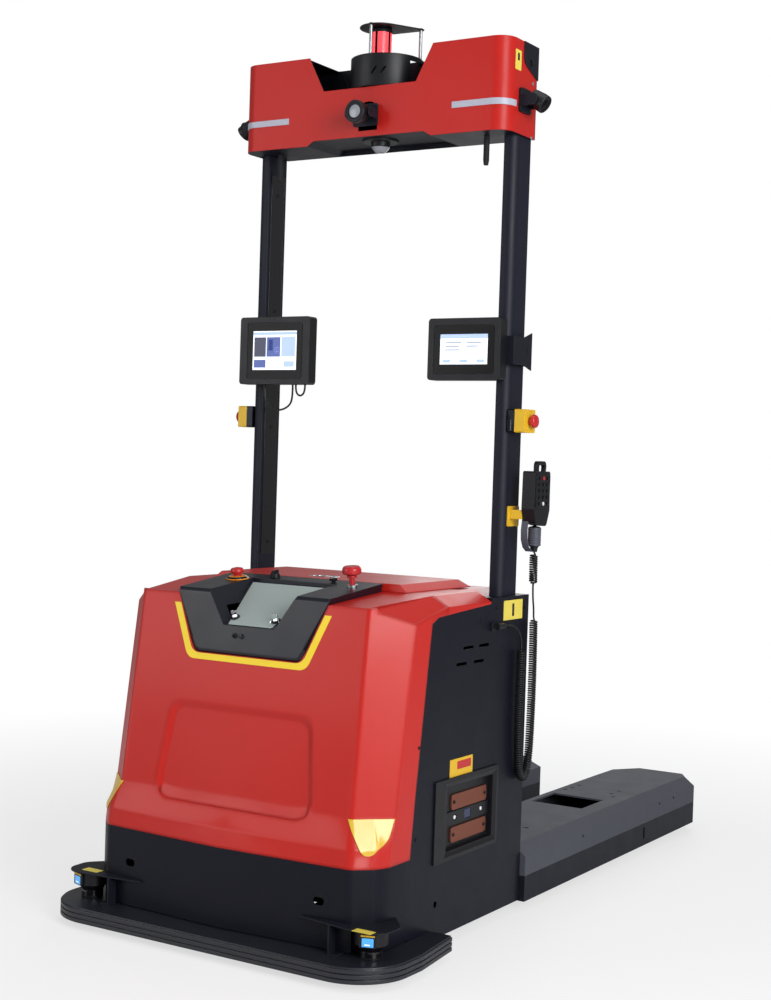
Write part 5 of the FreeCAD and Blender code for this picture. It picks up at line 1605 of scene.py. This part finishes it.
class Scanners(Assembly):
    """The corner scanners' lit displays, hoods and smoked windows."""

    def __init__(self, dresser: Dresser, sizes: ScannerSizes = ScannerSizes()) -> None:
        """Keep the sizes."""
        super().__init__(dresser)
        self.sizes = sizes

    def head(self, side: int, name: str) -> None:
        """Dress one scanner: a display hood that faces the front corner, and its window.

        Args:
            side: 1 on the right and -1 on the left.
            name: The side's name.
        """
        sizes = self.sizes
        aim = Vector((sizes.aim[0] * side, sizes.aim[1], 0.0)).normalized()
        centre = Vector((sizes.across * side, sizes.along, 0.0)) + aim * (sizes.radius - sizes.sunk)
        face = Panel(tuple(centre), (-aim.y, aim.x, 0.0), UP)
        hood = face.plate(f"scanner_hood_{name}", rounded(oblong(-22, 96, 22, 131), 3.0, 4), sizes.hood)
        Bench.soften(hood, 0.0012, 2)
        self.add(hood, Finishes.PLASTIC)
        for label, outline, thick, lift, finish in (
            ("display", rounded(oblong(-15, 99, 15, 121), 2.0, 4), 0.5, 0.0, Finishes.SCANNER_BLUE),
            ("status", oblong(-8, 103, 6, 106), 0.3, 0.5, Finishes.SCREEN_PALE),
            ("mark", oblong(-18, 124, 18, 128.5), 0.4, 0.0, Finishes.YELLOW),
        ):
            self.add(face.plate(f"scanner_{label}_{name}", outline, thick, sizes.hood + lift), finish)
        profile = ((30.2, 66.5), (24.6, 68.8), (36.4, 94.5), (30.2, 94.5), (30.2, 66.5))
        self.turned(f"scanner_window_{name}", profile, (sizes.across * side, sizes.along, 0), Finishes.GLOSS)

    def build(self) -> None:
        """Dress both scanners."""
        self.head(1, "right")
        self.head(-1, "left")


class ChargingPort(Assembly):
    """The small parts in the charging port: plate screws, contact dots and the sensor glass."""

    plate_face = Panel((452, 0, 0), (0, 1, 0), UP)
    band = Panel((451, 0, 0), (0, 1, 0), UP)
    screw_heights = (291.2, 380.7)
    screw_places = (-158.0, 15.0)
    dots: tuple[Flat, ...] = ((-153.0, 339.0), (-4.0, 339.0))

    def build(self) -> None:
        """Build the port's small parts."""
        for row, z in enumerate(self.screw_heights):
            for column, y in enumerate(self.screw_places):
                label = f"contact_screw_{row + 1}_{column + 1}"
                self.screw(label, self.plate_face, (y, z), 5.0, soft=True)
        dot = ((0, 0), (5.5, 0), (5.5, 1.6), (4, 2.4), (0, 2.6))
        for index, place in enumerate(self.dots):
            self.stud(f"contact_dot_{index + 1}", self.band, place, dot, Finishes.WHITE, steps=24)
        glass = self.band.plate("port_glass", rounded(oblong(-99, 327, -64, 351), 3.0), 1.2)
        self.add(glass, Finishes.SCREEN_NIGHT)


# ---------------------------------------------------------------- masts, gantry and pendant


class MastTrim(Assembly):
    """Screws along the glossy inner covers of the masts, in the legs and in the side panel."""

    mast_inner, mast_middle, leg_side = 407.0, 128.5, 480.0
    mast_heights = (1040.0, 1400.0, 1760.0, 2120.0)
    leg_places: tuple[Flat, ...] = ((632, 149.5), (1259, 149.5), (1387, 149.5))
    side_places: tuple[Flat, ...] = (
        (30, 900), (200, 890), (-60, 870), (-380, 560), (-380, 320), (200, 560),
    )

    def build(self) -> None:
        """Set each cover's screws, and the screws of the legs and side panels."""
        for side, name in ((1, "right"), (-1, "left")):
            inner = Panel((self.mast_inner * side, 0, 0), (0, side * -1, 0), UP)
            for index, z in enumerate(self.mast_heights):
                self.screw(f"mast_screw_{name}_{index + 1}", inner, (self.mast_middle * -side, z), 5.0)
        leg = Panel((self.leg_side, 0, 0), (0, 1, 0), UP)
        for index, place in enumerate(self.leg_places):
            self.screw(f"leg_screw_{index + 1}", leg, place, 4.0, "lift_deck_right")
        for index, place in enumerate(self.side_places):
            self.screw(f"side_screw_{index + 1}", RIGHT_SIDE, place, 4.5)


@dataclass(frozen=True)
class LidarSizes:
    """Sizes of the scanner tower, in millimetres."""

    along: float = 59.0
    guard_along: float = 98.0
    guard: float = 108.0
    wall: float = 4.0
    foot: float = 2396.0
    rim: float = 2491.0
    lip: float = 9.0
    slots: tuple[float, float] = (10.0, 36.0)
    bars: float = 32.2
    bar_turns: tuple[float, ...] = (-64.0, 8.0, 80.0, 152.0, 224.0)
    hat_low: float = 2576.0
    hat_thick: float = 4.0
    hat: float = 64.0
    tip: tuple[float, float, float] = (99.0, 121.0, 10.0)
    post: float = 5.0


class LidarTower(Assembly):
    """The scanner tower: a slotted guard band, the red drum with its bars, and the rain hat on its posts."""

    def __init__(self, dresser: Dresser, sizes: LidarSizes = LidarSizes()) -> None:
        """Keep the sizes."""
        super().__init__(dresser)
        self.sizes = sizes

    def guard(self) -> None:
        """Turn the guard band, slot its front, open its right side and cut it off behind the gantry."""
        sizes = self.sizes
        low, inner = sizes.foot, sizes.guard - sizes.wall
        profile = (
            (inner, low + 1), (sizes.guard - 2, low + 1), (sizes.guard, low + 5),
            (sizes.guard, sizes.rim - 1), (sizes.guard - 1, sizes.rim),
            (inner - sizes.lip, sizes.rim), (inner - sizes.lip, sizes.rim - 3),
            (inner, sizes.rim - 3), (inner, low + 1),
        )
        band = Bench.lathe(
            "lidar_guard", [(r / 1000, z / 1000) for r, z in profile], spot(0, sizes.guard_along, 0), steps=72
        )
        for x in sizes.slots:
            corners = ((x, 2431), (x + 7, 2431), (x + 20, 2451), (x + 13, 2451))
            Bench.cut(band, Bench.prism("slot", [spot(u, -30, z) for u, z in corners], (0.0, 0.05, 0.0)))
        Bench.cut(band, Bench.block("window", spot(70, 62, 2420), spot(130, 128, 2476)))
        Bench.cut(band, Bench.block("behind", spot(-130, 172, 2380), spot(130, 240, 2520)))
        Bench.smooth(band)
        self.add(band, Finishes.PLASTIC)
        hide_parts("lidar_housing")
        cone = ((0, low + 1), (52, low + 1), (52, low + 80), (44, low + 96), (0, low + 96))
        base = self.turned("lidar_base", cone, (0, sizes.along, 0), Finishes.PLASTIC, steps=64)
        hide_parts("lidar_housing")

    def hat(self) -> None:
        """Lay the teardrop hat: an arc round the drum and a small arc round its tip."""
        sizes = self.sizes
        across, along, small = sizes.tip
        reach = math.hypot(across, along - sizes.along)
        heading = math.atan2(along - sizes.along, across)
        open_by = math.acos((sizes.hat - small) / reach)
        arcs = (
            (0.0, sizes.along, sizes.hat, heading + open_by, heading - open_by + math.tau, 28),
            (across, along, small, heading - open_by, heading + open_by, 8),
        )
        outline = [
            spot(
                x + radius * math.cos(start + (end - start) * step / steps),
                y + radius * math.sin(start + (end - start) * step / steps),
                sizes.hat_low,
            )
            for x, y, radius, start, end, steps in arcs
            for step in range(steps + 1)
        ]
        plate = Bench.prism("lidar_hat_plate", outline, (0.0, 0.0, sizes.hat_thick / 1000))
        Bench.soften(plate, 0.0012, 2)
        self.add(plate, Finishes.PLASTIC)
        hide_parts("lidar_hat")
        top, radius = sizes.hat_low, sizes.post
        head = ((0, 0), (6, 0), (5.4, 2.2), (0, 3))
        for index, (x, y, low) in enumerate(((0, 3, 2488), (across, along, 2488), (-6, 119, 2400))):
            post = ((0, low), (radius, low), (radius, top), (0, top))
            self.turned(f"hat_post_{index + 1}", post, (x, y, 0), Finishes.STEEL, steps=20)
            place = (x, y, top + sizes.hat_thick)
            self.turned(f"hat_screw_{index + 1}", head, place, Finishes.SCREW, steps=20, soft=False)

    def drum(self) -> None:
        """Ring the spinning drum, carry its painted glow down to the base and set its bars."""
        sizes, body = self.sizes, "lidar_rotor"
        for label, profile, finish in (
            # The skirt takes the drum's painted glow: emitted red on a part that is no lamp.
            ("drum_skirt", ((0, 2499), (33, 2499), (33, 2520), (0, 2520)), Finishes.GLOW),
            ("drum_foot", ((0, 2492.6), (33.6, 2492.6), (33.6, 2499), (0, 2499)), Finishes.PLASTIC),
            (
                "drum_cap",
                ((0, 2562), (33.8, 2562), (33.8, 2571), (31, 2574.6), (0, 2574.8)),
                Finishes.PLASTIC,
            ),
        ):
            self.turned(label, profile, (0, sizes.along, 0), finish, body, steps=64)
        for index, turn in enumerate(sizes.bar_turns):
            aim = Vector((math.sin(math.radians(turn)), -math.cos(math.radians(turn)), 0.0))
            face = Panel((aim.x * sizes.bars, sizes.along + aim.y * sizes.bars, 0), (-aim.y, aim.x, 0), UP)
            bar = face.plate(f"drum_bar_{index + 1}", oblong(-3.5, 2500, 3.5, 2562), 1.2)
            self.add(bar, Finishes.GLASS, body)

    def build(self) -> None:
        """Build the tower."""
        self.guard()
        self.hat()
        self.drum()


@dataclass(frozen=True)
class CameraSizes:
    """Places and sizes of the cameras, in millimetres and degrees."""

    front_at: Point = (0, -72, 2310)
    front_radius: float = 26.0
    side_across: float = 506.0
    side_along: float = 100.0
    side_height: float = 2330.0
    side_reach: float = 24.0
    side_radius: float = 20.0
    side_tilt: float = 125.0
    dome_at: Point = (0, 75, 2237)
    antenna_across: float = 360.0
    antenna_along: float = 70.0
    gantry_bottom: float = 2237.0


class CameraTrim(Assembly):
    """Glass and rings of the tilting cameras, the dome below the gantry and the antennas' sleeves."""

    def __init__(self, dresser: Dresser, sizes: CameraSizes = CameraSizes()) -> None:
        """Keep the sizes."""
        super().__init__(dresser)
        self.sizes = sizes

    def lens(self, label: str, centre: Point, aim: Point, radius: float, body: str) -> None:
        """Set one lens with its ring.

        Args:
            label: The start of both pieces' names.
            centre: The drawing's point at the front of the head.
            aim: Where the camera looks.
            radius: The ring's radius in millimetres.
            body: The body that it rides on.
        """
        ring = ((0.0, -2.0), (1.0, -2.0), (1.0, 0.6), (0.86, 1.4), (0.76, 0.4), (0.74, -1.0), (0.0, -1.0))
        glass = ((0.0, -0.8), (0.72, -0.8), (0.72, 0.0), (0.5, 1.6), (0.25, 2.2), (0.0, 2.4))
        clear = Finishes.DOME if body == "front_camera" else Finishes.GLASS
        for part, profile, finish in (("ring", ring, Finishes.SCREW), ("glass", glass, clear)):
            scaled = [(r * radius, h) for r, h in profile]
            self.turned(f"{label}_{part}", scaled, centre, finish, body, aim)

    def build(self) -> None:
        """Build every camera's glass and the antennas' sleeves."""
        sizes = self.sizes
        self.lens("front_camera", sizes.front_at, (0.0, -1.0, 0.0), sizes.front_radius, "front_camera")
        tilt = math.radians(sizes.side_tilt)
        for side, body in ((1, "side_camera_right"), (-1, "side_camera_left")):
            aim = (math.sin(tilt) * side, 0.0, math.cos(tilt))
            centre = (
                sizes.side_across * side + aim[0] * sizes.side_reach,
                sizes.side_along,
                sizes.side_height + aim[2] * sizes.side_reach,
            )
            self.lens(body, centre, aim, sizes.side_radius, body)
        dome = ((0, -20.6), (14.5, -20.6), (21.5, -13.5), (26.8, -6), (0, -6))
        self.turned("dome_glass", dome, sizes.dome_at, Finishes.DOME)
        sleeve = ((0, -83), (6.6, -83), (8.6, -70), (8.6, -4), (0, -4))
        for name, side in (("right", 1), ("left", -1)):
            place = (sizes.antenna_across * side, sizes.antenna_along, sizes.gantry_bottom)
            self.turned(f"antenna_sleeve_{name}", sleeve, place, Finishes.RUBBER, steps=24)


@dataclass(frozen=True)
class PendantSizes:
    """The hand control's keypad, grip and strap, in millimetres."""

    face: float = 535.0
    columns: tuple[float, ...] = (130.0, 155.0, 180.0)
    low: float = 1196.0
    pitch: float = 18.0
    rows: int = 5
    radius: float = 5.5
    grip_at: Point = (500, 178, 1056)
    ribs: int = 7
    rib_pitch: float = 7.0
    strap_face: float = 489.0
    strap: float = 20.0
    strap_line: tuple[Flat, ...] = (
        (118.0, 1150.0), (112.0, 1120.0), (114.0, 1092.0), (126.0, 1070.0), (146.0, 1058.0), (160.0, 1057.0),
    )


class PendantTrim(Assembly):
    """The hand control's keys, its ribbed grip and the strap of its holder."""

    def __init__(self, dresser: Dresser, sizes: PendantSizes = PendantSizes()) -> None:
        """Keep the sizes."""
        super().__init__(dresser)
        self.sizes = sizes

    def keys(self) -> None:
        """Set the keypad's keys, modelled once and copied."""
        sizes = self.sizes
        face = Panel((sizes.face, 0, 0), (0, 1, 0), UP)
        profile = ((0, 0), (sizes.radius, 0), (sizes.radius, 1.6), (4, 2.6), (0, 2.9))
        place = (sizes.columns[0], sizes.low)
        first = self.stud("pendant_key", face, place, profile, Finishes.SCREW, steps=20)
        middle = (Finishes.WHITE, Finishes.SCREW, Finishes.SCREW, Finishes.SCREW, Finishes.STOP)
        for row in range(sizes.rows):
            for column, y in enumerate(sizes.columns):
                step = Vector((0.0, (y - sizes.columns[0]) / 1000, row * sizes.pitch / 1000))
                key = Bench.copy(first, f"pendant_key_{row + 1}_{column + 1}", Matrix.Translation(step))
                self.add(key, middle[row] if column == 1 else Finishes.SCREW)
        bpy.data.objects.remove(first, do_unlink=True)

    def grip(self) -> None:
        """Sleeve the cord's way out with a ribbed grip."""
        sizes = self.sizes
        profile: list[Flat] = [(17.8, 70), (18.6, 70)]
        for index in range(sizes.ribs):
            low = 64 - index * sizes.rib_pitch
            profile += [(19.2, low), (19.2, low - 3), (18, low - 4.5)]
        profile += [(17.2, 18), (16.5, 18), profile[0]]
        self.turned("pendant_grip_sleeve", profile, sizes.grip_at, Finishes.GREY, steps=32)

    def strap(self) -> None:
        """Bend the strap that hangs below the holder and cups the grip."""
        line = list(self.sizes.strap_line)
        inner = [(y + 3.2, z + 1.6) for y, z in line]
        face = Panel((self.sizes.strap_face, 0, 0), (0, 1, 0), UP)
        strap = face.plate("holder_strap", line + list(reversed(inner)), self.sizes.strap)
        Bench.smooth(strap, 50.0)
        self.add(strap, Finishes.GREY)

    def build(self) -> None:
        """Build the hand control's small parts."""
        self.keys()
        self.grip()
        self.strap()


# ---------------------------------------------------------------- cords


@dataclass
class CurlyCord:
    """The pendant's curly cord: one wire that runs straight, coils and goes into its socket."""

    dresser: Dresser
    wire: float = 0.0055
    coil: float = 0.0255
    pitch: float = 0.0066
    per_turn: int = 14
    route: Sequence[Point] = (
        (500, 178, 1056), (500, 178, 1010), (497, 186, 960), (495.4, 190.2, 934),
        (489, 206, 912), (482, 225.88, 888), (482, 227, 860), (482, 231, 760),
        (482, 232, 650), (482, 229, 540), (482, 223, 450), (482, 207, 402),
        (482, 175, 402), (482, 157, 450), (482, 153, 540), (482, 153, 660),
        (482, 155, 775), (482, 155.43, 800), (481, 142, 826), (480, 113, 845),
        (479, 80, 850), (479, 52, 850),
    )
    upper: Flat = (0.004, 0.094)
    lower: Flat = (0.2115, 1.0685)

    def centreline(self) -> list[Vector]:
        """Return the route's smooth line as points, read from its own curve."""
        curve = CordCurve.make("route_of_curly_cord", [spot(*p) for p in self.route], 0.0, 24)
        mesh = bpy.data.meshes.new_from_object(curve)
        line = [vertex.co.copy() for vertex in mesh.vertices]
        bpy.data.meshes.remove(mesh)
        bpy.data.objects.remove(curve, do_unlink=True)
        return line

    def points(self) -> list[Vector]:
        """Return the wire's points: the centreline, and a loop round it where it coils."""
        line = self.centreline()
        walk = [0.0]
        for here, there in zip(line, line[1:]):
            walk.append(walk[-1] + (there - here).length)
        across = Vector((1.0, 0.0, 0.0))
        radius = (self.coil - self.wire) / 2
        step = self.pitch / self.per_turn
        wire: list[Vector] = [line[0]]
        along, index, angle = 0.0, 0, 0.0
        while along < walk[-1]:
            while index < len(walk) - 2 and walk[index + 1] < along:
                index += 1
            part = (along - walk[index]) / max(walk[index + 1] - walk[index], 1e-9)
            middle = line[index].lerp(line[index + 1], min(part, 1.0))
            swell = self.swell(along)
            if swell > 0.0:
                ahead = (line[index + 1] - line[index]).normalized()
                side = (across - ahead * across.dot(ahead)).normalized()
                other = ahead.cross(side)
                wire.append(middle + (side * math.cos(angle) + other * math.sin(angle)) * radius * swell)
                angle += math.tau / self.per_turn
                along += step
            else:
                if along > 0.0:
                    wire.append(middle)
                along += 0.008
        wire.append(line[-1])
        return wire

    def swell(self, along: float) -> float:
        """Return how far the wire is out in its coil at a length, 0 to 1, eased at both ends.

        Args:
            along: A length along the cord's middle, in metres.

        Returns:
            The share of the coil's radius.
        """
        ease = self.pitch * 1.1
        for start, end in (self.upper, self.lower):
            if start < along < end:
                return min(1.0, (along - start) / ease, (end - along) / ease)
        return 0.0

    def build(self) -> None:
        wire = self.points()
        cord = CordCurve.make("curly_cord", wire, self.wire / 2, 2)
        self.dresser.dress(cord, Finishes.CORD)
        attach(cord, "root")
        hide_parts("cord_upper_coil", "cord_link", "cord_lower_coil", "cord_tail")
        length = CordCurve.length(cord)
        LOG.info("curly_cord is %.3f m long", length)


class CordCurve:
    """Makes and measures cord curves of one open spline."""

    @staticmethod
    def make(label: str, points: Sequence[Any], radius: float, steps: int) -> bpy.types.Object:
        """Make a smooth curve with points as its control points.

        Args:
            label: The curve's name.
            points: The control points in metres.
            radius: The wire's radius, or 0 for a bare line.
            steps: The curve's steps between points.

        Returns:
            The curve object.
        """
        data = bpy.data.curves.new(label, "CURVE")
        data.dimensions = "3D"
        data.resolution_u = steps
        data.render_resolution_u = steps
        data.bevel_depth = 1.0 if radius else 0.0
        data.bevel_resolution = 2
        data.use_fill_caps = radius > 0.0
        spline = data.splines.new("NURBS")
        spline.points.add(len(points) - 1)
        for control, place in zip(spline.points, points):
            control.co = (*place, 1.0)
            control.radius = radius
        spline.order_u = 3
        spline.use_endpoint_u = True
        curve = bpy.data.objects.new(label, data)
        bpy.context.collection.objects.link(curve)
        return curve

    @staticmethod
    def length(curve: bpy.types.Object) -> float:
        """Return the length of a cord's own line in metres.

        Args:
            curve: The cord.

        Returns:
            The length in metres.
        """
        data = curve.data
        depth, data.bevel_depth = data.bevel_depth, 0.0
        mesh = bpy.data.meshes.new_from_object(curve)
        data.bevel_depth = depth
        line = [vertex.co for vertex in mesh.vertices]
        total = sum((b - a).length for a, b in zip(line, line[1:]))
        bpy.data.meshes.remove(mesh)
        return total


@dataclass
class DisplayLeads:
    """The two short leads that leave and re-enter the left display's lower edge."""

    dresser: Dresser
    wire: float = 0.006
    wide: Sequence[Point] = (
        (-385, 56, 1527), (-385, 56, 1490), (-370, 58, 1462), (-330, 60, 1446),
        (-290, 60, 1462), (-278, 58, 1490), (-278, 56, 1527),
    )
    small: Sequence[Point] = (
        (-262, 50, 1527), (-262, 50, 1508), (-252, 50, 1494), (-238, 50, 1494),
        (-228, 50, 1508), (-228, 50, 1527),
    )

    def build(self) -> None:
        for label, route in (("display_lead_wide", self.wide), ("display_lead_small", self.small)):
            points = [spot(*p) for p in route]
            lead = CordCurve.make(label, points, self.wire / 2, 10)
            self.dresser.dress(lead, Finishes.CORD)
            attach(lead, "root")
            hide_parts("display_cables")
            length = CordCurve.length(lead)
            LOG.info("%s is %.3f m long", label, length)


# ---------------------------------------------------------------- stage, light and camera


@dataclass
class Studio:
    """A pale floor, a white surround, soft lamps and the camera."""

    camera_at: Point = (2.5734, -4.4626, 1.2998)
    azimuth: float = 31.7465
    fall: float = 1.3414
    roll: float = 1.8505
    focal: float = 58.137
    ambient: float = 0.24
    shadow_cover: float = 0.66
    shadow_reach: float = 1.3

    def floor(self) -> None:
        """Lay the floor, which shows white to the camera and keeps the shadow."""
        Bench.clear()
        bpy.ops.mesh.primitive_plane_add(size=60.0, location=(0.0, 0.0, -0.0005))
        floor = Bench.name("floor")
        recipe = Recipe("pale_floor")
        camera = recipe.node("LightPath", output="Is Camera Ray")
        clear = recipe.node("LightPath", output="Is Transmission Ray")
        seen = recipe.node("Math", {"operation": "MAXIMUM"}, {0: camera, 1: clear})
        away = recipe.node("VectorMath", {"operation": "LENGTH"}, {0: recipe.place()}, 1)
        fade = recipe.ramp(away / 10.0, (self.shadow_reach / 10.0, self.shadow_cover), (0.34, 1.0))
        tone = recipe.blend(recipe.noise(0.7, 2.0), shade("ececee"), shade("f0f0f2"))
        recipe.set(Base_Color=tone, Roughness=0.7)
        glow = recipe.node("Emission", values={"Color": (1.0, 1.0, 1.0, 1.0), "Strength": 1.0})
        matt = Wire(recipe, recipe.shader.outputs[0])
        mixed = recipe.node("MixShader", values={0: seen * fade, 1: matt, 2: glow})
        recipe.tree.links.new(mixed.socket, recipe.output.inputs["Surface"])
        floor.data.materials.append(recipe.material)

    def surroundings(self) -> None:
        """Give the world a white ground for the camera and an even grey light for the object."""
        world = bpy.data.worlds.new("studio")
        bpy.context.scene.world = world
        world.use_nodes = True
        tree = world.node_tree
        tree.nodes.clear()
        output = tree.nodes.new("ShaderNodeOutputWorld")
        paths = tree.nodes.new("ShaderNodeLightPath")
        most = tree.nodes.new("ShaderNodeMath")
        most.operation = "MAXIMUM"
        light = tree.nodes.new("ShaderNodeBackground")
        light.inputs["Color"].default_value = (1.0, 1.0, 1.0, 1.0)
        light.inputs["Strength"].default_value = self.ambient
        ground = tree.nodes.new("ShaderNodeBackground")
        ground.inputs["Color"].default_value = (1.0, 1.0, 1.0, 1.0)
        ground.inputs["Strength"].default_value = 1.0
        mix = tree.nodes.new("ShaderNodeMixShader")
        tree.links.new(paths.outputs["Is Camera Ray"], most.inputs[0])
        tree.links.new(paths.outputs["Is Transmission Ray"], most.inputs[1])
        tree.links.new(most.outputs[0], mix.inputs[0])
        tree.links.new(light.outputs[0], mix.inputs[1])
        tree.links.new(ground.outputs[0], mix.inputs[2])
        tree.links.new(mix.outputs[0], output.inputs["Surface"])

    def lamp(self, label: str, place: Point, target: Point, size: float, power: float) -> None:
        """Add one soft square lamp that faces a target.

        Args:
            label: The lamp's name.
            place: Where it stands.
            target: What it faces.
            size: Its side's length.
            power: Its power in watts.
        """
        Bench.clear()
        bpy.ops.object.light_add(type="AREA", location=place)
        lamp = bpy.context.object
        lamp.name = label
        lamp.data.shape = "SQUARE"
        lamp.data.size = size
        lamp.data.energy = power
        aim = Vector(target) - Vector(place)
        lamp.rotation_euler = aim.to_track_quat("-Z", "Y").to_euler()

    def lamps(self) -> None:
        """Place the lamps: a broad one on the right, a fill on the left, one above and one behind."""
        self.lamp("right_softbox", (5.0, -3.2, 2.6), (0.2, -0.5, 0.9), 2.6, 260.0)
        self.lamp("left_softbox", (-3.6, -5.0, 2.4), (0.0, -0.6, 1.0), 3.0, 70.0)
        self.lamp("top_softbox", (0.6, -0.8, 5.2), (0.0, 0.0, 0.8), 3.0, 46.0)
        self.lamp("rear_softbox", (-1.5, 5.0, 3.0), (0.0, 0.2, 1.0), 3.0, 62.0)

    def camera(self) -> None:
        """Place the camera at its measured viewpoint."""
        Bench.clear()
        bpy.ops.object.camera_add(location=self.camera_at)
        camera = bpy.context.object
        camera.name = "view_camera"
        azimuth, fall, roll = (math.radians(v) for v in (self.azimuth, self.fall, self.roll))
        level = math.cos(fall)
        ahead = Vector((-math.sin(azimuth) * level, math.cos(azimuth) * level, -math.sin(fall)))
        right = Vector((math.cos(azimuth), math.sin(azimuth), 0.0))
        up = right.cross(ahead)
        across = right * math.cos(roll) + up * math.sin(roll)
        above = up * math.cos(roll) - right * math.sin(roll)
        turn = Matrix((across, above, -ahead)).transposed()
        camera.rotation_euler = turn.to_euler()
        camera.data.sensor_width = 36.0
        camera.data.lens = self.focal
        camera.data.clip_end = 200.0
        bpy.context.scene.camera = camera

    def build(self) -> None:
        """Set the whole stage."""
        self.floor()
        self.surroundings()
        self.lamps()
        self.camera()
        bpy.context.scene.view_settings.view_transform = "Standard"


def dress_frame(frame: dict[str, Any], dresser: Dresser) -> None:
    """Lay a finish on every CAD node.

    Args:
        frame: What the frame loader returned.
        dresser: The maker of finishes.
    """
    for finish, labels in FINISHED_NODES.items():
        for label in labels:
            dresser.cover(frame["nodes"][label], finish)
            LOG.info("%s is finished in %s", label, finish.value.name)


def main() -> None:
    """Dress the frame, build every sub-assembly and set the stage."""
    logging.basicConfig(level=logging.INFO, format="%(name)s: %(message)s")
    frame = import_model()
    Bench.clear()
    dresser = Dresser()
    dress_frame(frame, dresser)
    NoseCover(dresser, frame).build()
    Mouldings(dresser, frame).build()
    for assembly in (
        ConsoleTrim, Displays, Labels, Scanners, ChargingPort, MastTrim, LidarTower, CameraTrim, PendantTrim,
    ):
        assembly(dresser).build()
    CurlyCord(dresser).build()
    DisplayLeads(dresser).build()
    Studio().build()
    bpy.context.view_layer.update()


if __name__ == "__main__":
    main()
